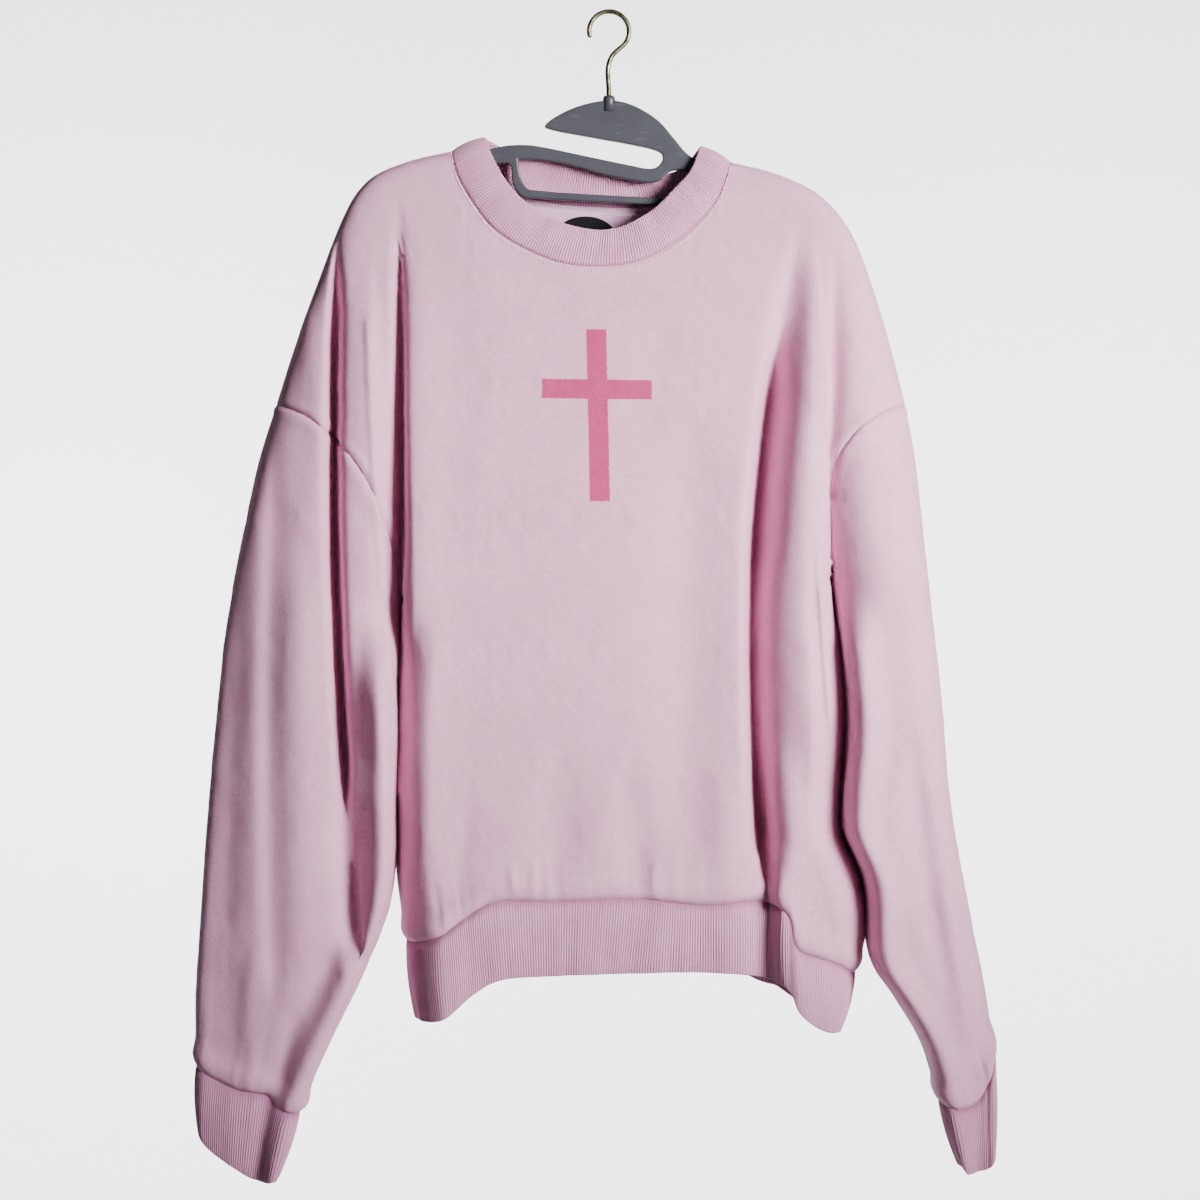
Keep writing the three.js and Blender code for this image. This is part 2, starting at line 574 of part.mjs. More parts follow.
// Outward directions, shared by the pieces that meet at a seam
const placeName = (point) => [point.x, point.y, point.z].map((value) => value.toFixed(3)).join(' ');
const directions = new Map();

function addDirections({ grid, ring, flip }) {
  const columns = ring ? grid.length : grid.length - 1;
  for (let i = 0; i < columns; i += 1) {
    for (let j = 0; j < grid[0].length - 1; j += 1) {
      const next = grid[(i + 1) % grid.length];
      const corners = [grid[i][j], next[j], next[j + 1], grid[i][j + 1]];
      const across = corners[2].clone().sub(corners[0]);
      const down = corners[3].clone().sub(corners[1]);
      const face = across.cross(down).multiplyScalar(flip ? 1 : -1);
      for (const corner of corners) {
        const name = placeName(corner);
        directions.set(name, (directions.get(name) || new THREE.Vector3()).add(face));
      }
    }
  }
}

Object.values(panels).forEach(addDirections);
const outward = (point) => directions.get(placeName(point)).clone().normalize();

// Draws a seam edge back by half the seam gap, in the cloth's own plane
function drawBack(grid, ring, i, j, normal) {
  const last = grid.length - 1;
  const bottom = grid[0].length - 1;
  const before = ring ? grid[(i + last) % (last + 1)] : grid[Math.max(i - 1, 0)];
  const after = ring ? grid[(i + 1) % (last + 1)] : grid[Math.min(i + 1, last)];
  const across = after[j].clone().sub(before[j]);
  const down = grid[i][Math.min(j + 1, bottom)].clone().sub(grid[i][Math.max(j - 1, 0)]);
  const shift = new THREE.Vector3();
  const pull = (seam, inwardHint) => {
    const away = seam.clone().cross(normal).normalize();
    shift.addScaledVector(away, (away.dot(inwardHint) < 0 ? -1 : 1) * SEAM_GAP / 2);
  };
  if (j === 0) {
    pull(across, down);
  }
  if (j === bottom) {
    pull(across, down.clone().negate());
  }
  if (!ring && i === 0) {
    pull(down, across);
  }
  if (!ring && i === last) {
    pull(down, across.clone().negate());
  }
  return shift;
}

// A closed solid between an outer and an inner grid; the inner one may skip columns
function wallGeometry(outer, inner, ring, skip = 1) {
  const positions = [];
  const triangle = (a, b, c) => positions.push(...a.toArray(), ...b.toArray(), ...c.toArray());
  const quad = (a, b, c, d) => {
    triangle(a, b, c);
    triangle(a, c, d);
  };
  const bottom = outer[0].length - 1;
  const steps = (grid) => (ring ? grid.length : grid.length - 1);
  const at = (grid, i) => grid[i % grid.length];
  for (let i = 0; i < steps(outer); i += 1) {
    for (let j = 0; j < bottom; j += 1) {
      quad(at(outer, i)[j], at(outer, i)[j + 1], at(outer, i + 1)[j + 1], at(outer, i + 1)[j]);
    }
  }
  for (let i = 0; i < steps(inner); i += 1) {
    for (let j = 0; j < bottom; j += 1) {
      quad(at(inner, i)[j], at(inner, i + 1)[j], at(inner, i + 1)[j + 1], at(inner, i)[j + 1]);
    }
  }
  for (let i = 0; i < steps(inner); i += 1) {
    const half = Math.floor(skip / 2);
    for (let k = 0; k < skip; k += 1) {
      const own = k < half ? at(inner, i) : at(inner, i + 1);
      const [a, b] = [at(outer, i * skip + k), at(outer, i * skip + k + 1)];
      triangle(b[0], own[0], a[0]);
      triangle(a[bottom], own[bottom], b[bottom]);
    }
    const middle = at(outer, i * skip + half);
    triangle(at(inner, i)[0], middle[0], at(inner, i + 1)[0]);
    triangle(at(inner, i)[bottom], at(inner, i + 1)[bottom], middle[bottom]);
  }
  if (!ring) {
    const [first, last] = [outer.length - 1, inner.length - 1];
    for (let j = 0; j < bottom; j += 1) {
      quad(outer[0][j + 1], outer[0][j], inner[0][j], inner[0][j + 1]);
      quad(outer[first][j], outer[first][j + 1], inner[last][j + 1], inner[last][j]);
    }
  }
  const geometry = new THREE.BufferGeometry();
  geometry.setAttribute('position', new THREE.Float32BufferAttribute(positions, 3));
  return facingOut(geometry);
}

// Turns every triangle round where the closed surface is inside out
function facingOut(geometry) {
  const values = geometry.attributes.position.array;
  let volume = 0;
  for (let i = 0; i < values.length; i += 9) {
    const [a, b, c] = [0, 3, 6].map((step) => new THREE.Vector3().fromArray(values, i + step));
    volume += a.dot(b.cross(c));
  }
  if (volume < 0) {
    for (let i = 0; i < values.length; i += 9) {
      for (let k = 0; k < 3; k += 1) {
        [values[i + 3 + k], values[i + 6 + k]] = [values[i + 6 + k], values[i + 3 + k]];
      }
    }
  }
  geometry.computeVertexNormals();
  return geometry;
}

function panelGeometry({ grid, ring }) {
  const outer = grid.map((column, i) => column.map((point, j) => {
    const shift = drawBack(grid, ring, i, j, outward(point));
    return point.clone().add(shift);
  }));
  const inner = grid.map((column, i) => column.map((point, j) => (
    outer[i][j].clone().addScaledVector(outward(point), -CLOTH))));
  return wallGeometry(outer, inner, ring);
}

// Stations of a band's free edge, at the same shares of the rows as its seam
function edgeStations(rows, seam) {
  const seamCurve = curveThrough(rows);
  const edgeCurve = curveThrough(rows, 'edgeX', 'edgeZ');
  const leanAt = new THREE.CatmullRomCurve3(rows.map((row) => new THREE.Vector3(row.lean, 0, 0)));
  const places = seamCurve.getPoints(EDGE_POINTS);
  return seam.map((point, i) => {
    let best = i === 0 ? 0 : EDGE_POINTS;
    if (i > 0 && i < seam.length - 1) {
      best = places.reduce((near, place, k) => (
        Math.hypot(place.x - point.x, place.z - point.z)
          < Math.hypot(places[near].x - point.x, places[near].z - point.z) ? k : near), 0);
    }
    const edge = edgeCurve.getPoint(best / EDGE_POINTS);
    edge.y = point.y + leanAt.getPoint(best / EDGE_POINTS).x;
    return edge;
  });
}

// A band of rib knit from a seam ring to its free edge; its ribs are raised on the outside alone
function bandGeometry(seam, edge, { finer, rows, bow }) {
  const count = seam.length;
  const base = seam.map((point, i) => Array.from({ length: rows + 1 }, (unused, j) => (
    point.clone().lerp(edge[i], j / rows))));
  const normals = base.map((column, i) => column.map((point, j) => {
    if (j === 0) {
      return outward(seam[i]);
    }
    const around = base[(i + 1) % count][j].clone().sub(base[(i + count - 1) % count][j]);
    const down = column[j].clone().sub(column[j - 1]);
    const normal = around.cross(down).normalize();
    return normal.dot(outward(seam[i])) < 0 ? normal.negate() : normal;
  }));
  const inner = base.map((column, i) => column.map((point, j) => {
    const out = bow * Math.sin((Math.PI * j) / rows);
    const wall = j === 0 ? CLOTH : RIB_CLOTH;
    return point.addScaledVector(normals[i][j], out).clone().addScaledVector(normals[i][j], -wall);
  }));
  for (let i = 0; i < count; i += 1) {
    const turns = [1, count - 1].map((step) => normals[i][0].dot(normals[(i + step) % count][0]));
    const turn = 1 - Math.min(...turns);
    const away = base[i][1].clone().sub(base[i][0]).setLength(SEAM_GAP / 2 + TURN_EASE * turn);
    base[i][0].add(away);
    inner[i][0].add(away);
  }
  const outer = [];
  for (let i = 0; i < count * finer; i += 1) {
    const own = Math.floor(i / finer);
    const next = (own + 1) % count;
    const share = (i % finer) / finer;
    outer.push(base[own].map((point, j) => {
      const raised = i % 2 && j > 0 ? RIB_HEIGHT : 0;
      const normal = normals[own][j].clone().lerp(normals[next][j], share).normalize();
      return point.clone().lerp(base[next][j], share).addScaledVector(normal, raised);
    }));
  }
  return wallGeometry(outer, inner, true, finer);
}

const rowOf = (grid, j) => grid.map((column) => column[j]);

function joinedRing(frontLine, backLine, frontRows, backRows) {
  const frontEdge = edgeStations(frontRows, frontLine);
  const backEdge = edgeStations(backRows, backLine);
  return {
    seam: [...frontLine, ...backLine.slice(1, -1).reverse()],
    edge: [...frontEdge, ...backEdge.slice(1, -1).reverse()],
  };
}

function neckBand() {
  const line = (panel) => rowOf(panel.grid, 0).slice(SHOULDER_STEPS, -SHOULDER_STEPS);
  const { seam, edge } = joinedRing(line(panels.front), line(panels.back), NECK_FRONT, NECK_BACK);
  return bandGeometry(seam, edge, COLLAR_BAND);
}

function hemBand() {
  const line = (panel) => rowOf(panel.grid, panel.grid[0].length - 1);
  const { seam, edge } = joinedRing(line(panels.front), line(panels.back), HEM_FRONT, HEM_BACK);
  return bandGeometry(seam, edge, HEM_BAND);
}

function cuffBand(panel, frontRows, backRows) {
  const ring = rowOf(panel.grid, SLEEVE_STEPS);
  const frontLine = ring.slice(0, ARMHOLE_STEPS + 1);
  const backLine = [ring[0], ...ring.slice(ARMHOLE_STEPS).reverse()];
  const { seam, edge } = joinedRing(frontLine, backLine, frontRows, backRows);
  return bandGeometry(seam, edge, CUFF_BAND);
}

// The hanger's arm lies just under the shoulder cloth
function armEdge(curve, shares, offset, neckAt) {
  return shares.map((share) => {
    const lowered = offset + NECK_CLEARANCE * smooth(1 - Math.abs(share - neckAt) / NECK_SHARE);
    const point = curve.getPointAt(share);
    const tangent = curve.getTangentAt(share);
    return { x: point.x + tangent.z * lowered, z: point.z - tangent.x * lowered };
  });
}

function toShape(rows, Kind = THREE.Shape) {
  return new Kind(rows.map((row) => new THREE.Vector2(row.x, row.z)));
}

function solidOf(wasm, geometry) {
  const plain = geometry.clone();
  plain.deleteAttribute('normal');
  plain.deleteAttribute('uv');
  const merged = mergeVertices(plain, 1e-4);
  return new wasm.Manifold(new wasm.Mesh({
    numProp: 3,
    vertProperties: new Float32Array(merged.attributes.position.array),
    triVerts: new Uint32Array(merged.index.array),
  }));
}

function geometryOf(solid) {
  const mesh = solid.getMesh();
  const geometry = new THREE.BufferGeometry();
  geometry.setAttribute('position', new THREE.Float32BufferAttribute(mesh.vertProperties, 3));
  geometry.setIndex(new THREE.Uint32BufferAttribute(mesh.triVerts, 1));
  geometry.computeVertexNormals();
  return geometry;
}

function uprightCylinder(radius, top, bottom) {
  const geometry = new THREE.CylinderGeometry(radius, radius, top - bottom, ROUND_SIDES);
  geometry.rotateX(Math.PI / 2);
  geometry.translate(0, 0, (top + bottom) / 2);
  return geometry;
}

async function hangerGeometry() {
  const wasm = await Module();
  wasm.setup();
  const rightShares = ARM_SHARES.map((share) => 1 - share).reverse();
  const leftTop = armEdge(shoulderLeft, ARM_SHARES, ARM_CLEARANCE, 1);
  const leftUnder = armEdge(shoulderLeft, ARM_SHARES.slice(1, -1), ARM_CLEARANCE + ARM_HEIGHT, 1);
  const rightTop = armEdge(shoulderRight, rightShares, ARM_CLEARANCE, 0);
  const rightUnder = armEdge(shoulderRight, rightShares.slice(1, -1), ARM_CLEARANCE + ARM_HEIGHT, 0);
  const outline = toShape([
    ...leftTop, ...SLOT_LOWER_EDGE, ...SLOT_END, ...HEAD_EDGE, ...rightTop,
    ...rightUnder.reverse(), ...UNDERSIDE_RIGHT, ...leftUnder.reverse(),
  ]);
  outline.holes.push(toShape([...WINDOW].reverse(), THREE.Path));
  const plate = new THREE.ExtrudeGeometry(outline, {
    depth: HANGER_THICKNESS - 2 * HANGER_BEVEL,
    bevelEnabled: true,
    bevelThickness: HANGER_BEVEL,
    bevelSize: HANGER_BEVEL,
    bevelOffset: -HANGER_BEVEL,
    bevelSegments: 2,
  });
  plate.translate(0, 0, HANGER_BEVEL - HANGER_THICKNESS / 2);
  plate.rotateX(Math.PI / 2);
  const boss = uprightCylinder(BOSS.radius, BOSS.top, BOSS.bottom);
  const bore = uprightCylinder(BOSS.bore, BOSS.top + 1, BOSS.boreBottom);
  return geometryOf(solidOf(wasm, plate).add(solidOf(wasm, boss)).subtract(solidOf(wasm, bore)));
}

// The hook's wire stands in the hanger's boss, bends to the right and runs round the bowl
function hookGeometry() {
  const bowl = Array.from({ length: BOWL_POINTS }, (unused, i) => {
    const angle = mix(BOWL_START, BOWL_END, i / (BOWL_POINTS - 1));
    return new THREE.Vector3(
      BOWL_RADIUS * Math.cos(angle),
      0,
      WIRE_RADIUS - BOWL_RADIUS + BOWL_RADIUS * Math.sin(angle),
    );
  });
  const foot = [WIRE_FOOT, ...WIRE_BEND].map((row) => new THREE.Vector3(row.x, 0, row.z));
  const path = new THREE.CatmullRomCurve3([...foot, ...bowl], false, 'centripetal');
  const section = new THREE.Shape();
  section.absarc(0, 0, WIRE_RADIUS, 0, Math.PI * 2);
  return new THREE.ExtrudeGeometry(section, {
    steps: WIRE_STEPS,
    curveSegments: ROUND_SIDES / 2,
    extrudePath: path,
    bevelEnabled: false,
  });
}

const finishes = {
  cloth: { color: CLOTH_COLOUR, roughness: 0.95, metalness: 0 },
  plastic: { color: HANGER_COLOUR, roughness: 0.4, metalness: 0 },
  wire: { color: WIRE_COLOUR, roughness: 0.35, metalness: 1 },
};
const group = new THREE.Group();

function addPiece(name, geometry, finish) {
  const mesh = new THREE.Mesh(geometry, new THREE.MeshStandardMaterial(finishes[finish]));
  mesh.name = name;
  group.add(mesh);
}

for (const [name, panel] of Object.entries(panels)) {
  addPiece(name, panelGeometry(panel), 'cloth');
}
addPiece('collar', neckBand(), 'cloth');
addPiece('hem_rib', hemBand(), 'cloth');
addPiece('cuff_left', cuffBand(panels.sleeve_left, CUFF_LEFT_FRONT, CUFF_LEFT_BACK), 'cloth');
addPiece('cuff_right', cuffBand(panels.sleeve_right, CUFF_RIGHT_FRONT, CUFF_RIGHT_BACK), 'cloth');
addPiece('hanger', await hangerGeometry(), 'plastic');
addPiece('hook', hookGeometry(), 'wire');

export default group;
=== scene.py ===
import math

import bpy
import numpy as np
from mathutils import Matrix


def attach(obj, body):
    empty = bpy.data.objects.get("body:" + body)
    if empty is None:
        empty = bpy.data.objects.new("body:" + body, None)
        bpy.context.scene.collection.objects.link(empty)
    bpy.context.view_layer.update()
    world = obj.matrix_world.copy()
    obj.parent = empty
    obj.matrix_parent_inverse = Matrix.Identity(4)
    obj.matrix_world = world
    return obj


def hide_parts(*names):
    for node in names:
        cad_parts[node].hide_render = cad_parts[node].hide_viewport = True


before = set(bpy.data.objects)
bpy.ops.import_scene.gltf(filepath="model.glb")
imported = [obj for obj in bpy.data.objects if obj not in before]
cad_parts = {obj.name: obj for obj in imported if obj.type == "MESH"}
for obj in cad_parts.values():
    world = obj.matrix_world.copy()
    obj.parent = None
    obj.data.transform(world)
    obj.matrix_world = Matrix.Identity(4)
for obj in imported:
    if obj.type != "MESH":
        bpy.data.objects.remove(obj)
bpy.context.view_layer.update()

# A sweatshirt on a hanger. Tables are in millimetres, in the part's own frame: front faces -Y.
MM = 0.001

# Cloth, rib knit and stitches
CLOTH = 2.4
RIB_CLOTH = 2.6
RIB_PITCH = 2.05
RIB_HEIGHT = 0.62
STITCH_PITCH = 2.6
STITCH_LENGTH = 2.0
STITCH_THICKNESS = 0.95
COVERSTITCH_LINE = 4.2
INNER_STITCH_LINES = (1.6, 6.0)

# Steps of the grids
REFINE = 6
ARMHOLE_STEPS = 12 * REFINE
SIDE_STEPS = 11 * REFINE
SLEEVE_STEPS = 102
SHOULDER_COLUMNS = 10 * REFINE
NECK_COLUMNS = 14 * REFINE

# How body and sleeves turn in where they part
UNDERARM_SADDLE = 24
VALLEY_FLOOR = 14
VALLEY_TOP = -160
SIDE_STAGGER = 20
STAGGER_REACH = 34
ARMHOLE_TOP = -325
BODY_ROUNDING = {"front": {"left": 13, "right": 15}, "back": {"left": 45, "right": 45}}
SLEEVE_ROUNDING = {"front": 18, "back": 60}

# How steeply the pull of a side edge fades: at the top, lower down, and where it has changed
SIDE_PULL = {"left": (9, 3.4, 0.36), "right": (5, 2.2, 0.3)}

# Distances down or across the cloth over which one form passes into the next
SLEEVE_BLEND = 150
ROUNDING_BLEND = 90
STAGGER_BLEND = 60
STAND_BLEND = 9
FOLD_START = 90
FOLD_END = 60
# Depth of cloth at which a fold has its full rise
FOLD_DEPTH = 45

# Hanger and hook
HANGER_THICKNESS = 6
HANGER_BEVEL = 1.3
ARM_HEIGHT = 13
ARM_CLEARANCE = 5.3
NECK_CLEARANCE = 2.6
WIRE_RADIUS = 2
BOWL_RADIUS = 16

# Outlines in the front view: (x, z)
SHOULDER_LEFT = [
    (-266, -312), (-255, -277), (-244, -245), (-232, -213), (-220, -181), (-212, -162),
    (-202, -144), (-188, -130), (-160, -118), (-126, -110),
]
SHOULDER_RIGHT = [
    (98, -119), (127, -126), (155, -137), (173, -149), (188, -166), (198, -184), (209, -213),
    (219, -245), (228, -277), (237, -313),
]
OUTER_LEFT = [
    (-266, -312), (-280, -357), (-294, -421), (-306, -485), (-313, -549), (-319, -613),
    (-324, -677), (-327, -725), (-331, -785), (-330, -840),
]
INNER_LEFT = [
    (-165, -469), (-168, -549), (-168, -621), (-168, -668), (-173, -709), (-184, -741),
    (-198, -773), (-214, -805), (-229, -837), (-245, -874),
]
OUTER_RIGHT = [
    (237, -313), (245, -357), (252, -421), (259, -485), (266, -549), (271, -613), (279, -668),
    (290, -725), (301, -782), (307, -824),
]
INNER_RIGHT = [
    (176, -453), (179.4, -480), (182, -500), (184, -520), (186.5, -549), (187, -574),
    (183.5, -624), (184, -649), (200, -690), (206, -752), (226, -784), (246, -818), (261, -864),
]
SIDE_LEFT = [
    (-165, -469), (-166.4, -488), (-172, -549), (-173, -629), (-171, -693), (-163, -740),
]
SIDE_RIGHT = [
    (176, -453), (180.8, -480), (186, -500), (189, -520), (191, -560), (187.5, -621),
    (188, -653), (203, -690), (208, -728), (198, -766),
]
ARMHOLE_LEFT = [
    (-266, -312), (-236, -326), (-214, -345), (-194, -369), (-180, -397), (-169, -432),
    (-165, -469),
]
ARMHOLE_RIGHT = [
    (237, -313), (215, -321), (192, -338), (179, -358), (174, -390), (174, -422), (176, -453),
]
VALLEY_LEFT = [(-166, -150), (-166, -260), (-165, -390), (-165, -469)]
VALLEY_RIGHT = [(166, -150), (169, -260), (174, -390), (176, -453)]

# Rib bands: (x, z) of the seam, (x, z) of the free edge, and how far the edge leans back
NECK_FRONT = [
    (-126, -110, -100, -99, 0), (-122, -128, -96, -111, -2), (-111, -149, -86, -131, -1),
    (-92, -174, -71, -150, 1), (-66, -191, -51, -164.5, 3), (-38, -202, -29, -173, 4),
    (-8, -205, -5, -176, 5), (22, -201, 16, -171, 4), (49, -187.5, 36, -159, 3),
    (71, -169, 53, -142, 1), (88, -146, 66, -127, -1), (98, -119, 74, -106, 0),
]
NECK_BACK = [
    (-126, -110, -100, -99, 0), (-104, -130, -80, -109, -1), (-62, -146, -50, -117, -5),
    (-12, -152, -10, -124, -7), (38, -151, 30, -129, -5), (76, -141, 58, -123, -1),
    (98, -119, 74, -106, 0),
]
HEM_FRONT = [
    (-163, -737, -157, -801, 0), (-134, -730, -130, -796, 2), (-112, -715, -108, -778, 3),
    (-92, -704, -88, -766, 4), (-45, -703, -45, -762, 4), (21, -701, 15, -760, 4),
    (73, -706, 73, -759, 4), (118, -703, 119, -763, 4), (138, -712, 139, -771, 3),
    (146, -738, 148, -789, 3), (174, -750, 168, -805, 2), (198, -764, 188, -811, 0),
]
HEM_BACK = [
    (-163, -740, -157, -801, 0), (-140, -741, -134, -808, -2), (-116, -729, -112, -791, -3),
    (-70, -712, -68, -769, -4), (0, -706, 0, -763, -4), (70, -711, 68, -768, -4),
    (108, -718, 107, -773, -4), (136, -728, 134, -783, -3), (160, -745, 156, -797, -3),
    (198, -766, 188, -811, 0),
]
CUFF_LEFT_FRONT = [
    (-330, -840, -330, -889, 0), (-318, -847, -320, -903, 1), (-294, -857, -298, -918, 1),
    (-272, -861, -281, -927, 1), (-259.5, -871, -270, -928, 1), (-245, -874, -261, -926, 0),
]
CUFF_LEFT_BACK = [
    (-330, -840, -330, -889, 0), (-290, -852, -297, -911, -1), (-245, -874, -261, -926, 0),
]
CUFF_RIGHT_FRONT = [
    (307, -824, 306, -908, 0), (298, -852, 300, -916, 2), (288, -866, 291, -919, 3),
    (274, -869, 282, -919, 2), (261, -864, 276, -914, 0),
]
CUFF_RIGHT_BACK = [
    (307, -824, 306, -908, 0), (284, -846, 291, -914, -2), (261, -864, 276, -914, 0),
]

# Stand-off of the cloth from the middle plane: z, then left, body, right of each side
FRONT_STAND = [
    (-100, 9, 9, 9), (-130, 11, 11, 11), (-160, 15, 16, 15), (-200, 22, 25, 22),
    (-260, 30, 34, 34), (-320, 37, 41, 43), (-420, 41, 47, 53), (-540, 42, 52, 58),
    (-700, 38, 56, 56), (-780, 33, 57, 48), (-880, 20, 56, 29),
]
BACK_STAND = [
    (-100, 9, 9, 9), (-130, 11, 11, 11), (-160, 15, 18, 15), (-200, 22, 26, 24),
    (-260, 29, 36, 34), (-320, 34, 44, 42), (-420, 38, 54, 50), (-540, 40, 62, 56),
    (-700, 38, 66, 56), (-780, 34, 66, 48), (-880, 20, 64, 29),
]
# How far the round edge of the garment reaches in from its outline: z, reach
EDGE_REACH = [
    (-100, 11), (-130, 14), (-160, 20), (-200, 32), (-260, 45), (-320, 60), (-420, 75),
    (-540, 85), (-700, 90),
]

# Folds: path down the cloth, rise (below zero it sinks), width on the left and on the right
FRONT_FOLDS = [
    ([(-216, -160), (-219, -240), (-220, -330), (-219, -430), (-213, -570), (-208, -650)], -42, 2.5, 7),
    ([(-212, -570), (-205, -690), (-199, -780)], -14, 9, 15),
    ([(-168, -140), (-166, -200), (-165, -260), (-164, -380), (-164, -490)], -26, 4.5, 3.5),
    ([(-190, -190), (-187, -320), (-181, -470), (-172, -620)], 9, 19, 8),
    ([(-150, -170), (-152, -300), (-150, -520), (-147, -700)], 4, 9, 22),
    ([(152, -160), (139, -240), (130, -310), (120, -400), (113, -480)], -14, 9, 14),
    ([(135, -235), (124, -320), (116, -400), (112, -480), (113, -570), (117, -640), (122, -710)], -24, 5, 17),
    ([(137, -235), (126, -320), (118, -400), (114, -480), (115, -570), (119, -640), (124, -710)], -13, 3, 9),
    ([(116, -560), (121, -680), (128, -730), (133, -870)], -6, 16, 4),
    ([(127, -560), (131, -660), (136, -730), (140, -870)], 8, 3, 22),
    ([(163, -165), (167, -260), (171, -350)], 7, 16, 2.5),
    ([(180, -170), (177, -260), (176, -350)], -8, 5, 9),
    ([(161, -420), (166, -480), (172, -560), (174, -600)], 4, 3, 7),
    ([(160, -190), (155, -330), (152, -470), (160, -620)], 4, 14, 9),
    ([(-286, -400), (-304, -540), (-312, -700), (-310, -880)], -13, 20, 30),
    ([(-242, -440), (-240, -600), (-246, -760), (-262, -860)], 5, 24, 20),
    ([(-264, -330), (-268, -540), (-266, -700), (-264, -800)], -6, 8, 15),
    ([(-38, -560), (-40, -640), (-44, -720)], -4, 22, 22),
    ([(14, -580), (20, -650), (26, -720)], -4, 18, 18),
    ([(66, -300), (62, -480), (60, -700)], -5, 26, 30),
    ([(236, -560), (250, -690), (278, -820)], -7, 14, 12),
]
BACK_FOLDS = [
    ([(-205, -190), (-212, -330), (-205, -500), (-208, -700)], -16, 12, 10),
    ([(-128, -180), (-118, -330), (-112, -500), (-116, -760)], -18, 12, 15),
    ([(-40, -260), (-34, -440), (-38, -700)], -7, 26, 22),
    ([(60, -250), (52, -430), (58, -720)], -9, 20, 25),
    ([(134, -190), (126, -360), (122, -540), (128, -770)], -17, 13, 12),
    ([(224, -400), (232, -560), (250, -720)], -10, 14, 13),
    ([(-262, -430), (-268, -600), (-274, -780)], -8, 15, 16),
]

# Small soft creases laid on the cloth: path, rise, width
FRONT_CREASES = [
    ([(-203, -680), (-200, -725), (-196, -750)], -4.5, 5),
    ([(-192, -752), (-212, -795), (-229, -832)], -1.3, 1.3),
    ([(206, -322), (222, -306)], -1.6, 4),
    ([(199, -330), (216, -318)], 1.2, 4),
    ([(190, -350), (204, -344), (220, -340)], -1.4, 4),
    ([(281, -736), (288, -790), (296, -850)], -2.4, 6),
    ([(262, -700), (272, -770), (278, -840)], 1.8, 8),
    ([(-76, -682), (-74, -694)], 2.2, 2.6),
    ([(-58, -676), (-60, -692)], 2.0, 2.6),
    ([(36, -678), (34.5, -691)], 2.2, 2.8),
    ([(116, -672), (120, -692)], 2.0, 3),
    ([(172, -720), (176, -748)], -2.2, 5),
    ([(-190, -250), (-184, -380), (-178, -460), (-170, -560), (-165, -620)], 2.0, 3),
    ([(-240, -240), (-228, -330), (-232, -420)], 1.4, 10),
    ([(-100, -200), (-96, -300), (-104, -420)], 0.8, 18),
    ([(40, -260), (30, -360), (36, -480)], -0.8, 20),
    ([(-110, -640), (-116, -680), (-114, -712)], -1.6, 9),
    ([(85, -610), (90, -660), (92, -704)], 1.5, 12),
    ([(224, -470), (230, -560), (240, -640)], -1.4, 12),
    ([(205, -560), (214, -640), (230, -700)], 1.3, 10),
    ([(-296, -470), (-300, -600), (-306, -720)], -1.3, 10),
    ([(-282, -760), (-284, -800), (-282, -850)], 2.0, 9),
    ([(-250, -800), (-256, -830), (-260, -860)], -2.0, 7),
]
BACK_CREASES = [
    ([(-150, -230), (-128, -300), (-120, -380)], -1.4, 10),
    ([(100, -240), (82, -320), (90, -420)], 1.2, 14),
    ([(-80, -640), (-76, -690), (-80, -716)], -1.8, 9),
    ([(20, -650), (24, -690), (22, -710)], -1.6, 8),
    ([(90, -640), (96, -690), (98, -716)], 1.5, 10),
    ([(-286, -700), (-290, -780), (-296, -846)], -1.8, 8),
    ([(-262, -790), (-266, -830), (-268, -858)], 1.8, 8),
    ([(252, -640), (268, -720), (284, -810)], 1.8, 9),
    ([(210, -360), (204, -440), (208, -520)], -1.4, 9),
]

# Hanger in the front view: (x, z)
SLOT_LOWER_EDGE = [(-85, -106), (-66, -105), (-54, -106.5), (-18, -114), (18, -121.5), (33, -124)]
SLOT_END = [(39, -122), (42.5, -117), (42, -112.5), (37, -109.5)]
HEAD_EDGE = [
    (18, -105), (-18, -98.5), (-46, -93), (-51.5, -90.5), (-48, -86), (-30, -76), (-8, -70),
    (8, -70), (23, -75), (40, -86), (53, -101), (65, -114),
]
UNDERSIDE_RIGHT = [
    (92, -141), (88, -152), (80, -157), (44, -153.5), (-61, -147.5), (-70, -146), (-77, -136),
    (-80, -120),
]
WINDOW = [
    (-73, -116.5), (-56, -117), (-32, -121), (-3, -129), (26, -134.5), (34, -135), (41, -133),
    (48, -126.5), (55, -125), (63, -126), (80, -134), (82, -146), (77, -150.5), (46, -148),
    (-58, -141.5), (-65, -140), (-70, -133),
]


def clamp(value):
    return np.clip(value, 0.0, 1.0)


def smooth(value):
    share = clamp(value)
    return share * share * (3 - 2 * share)


def mix(a, b, share):
    return a + (b - a) * share


def unit(vectors):
    return vectors / np.maximum(np.linalg.norm(vectors, axis=-1, keepdims=True), 1e-12)


def rounding(distance, reach):
    """Height of a round edge, from 0 at the edge to 1 at its reach."""
    away = 1 - clamp((distance - 0.4) / reach)
    return (1 - away**2.2) ** (1 / 2.2)


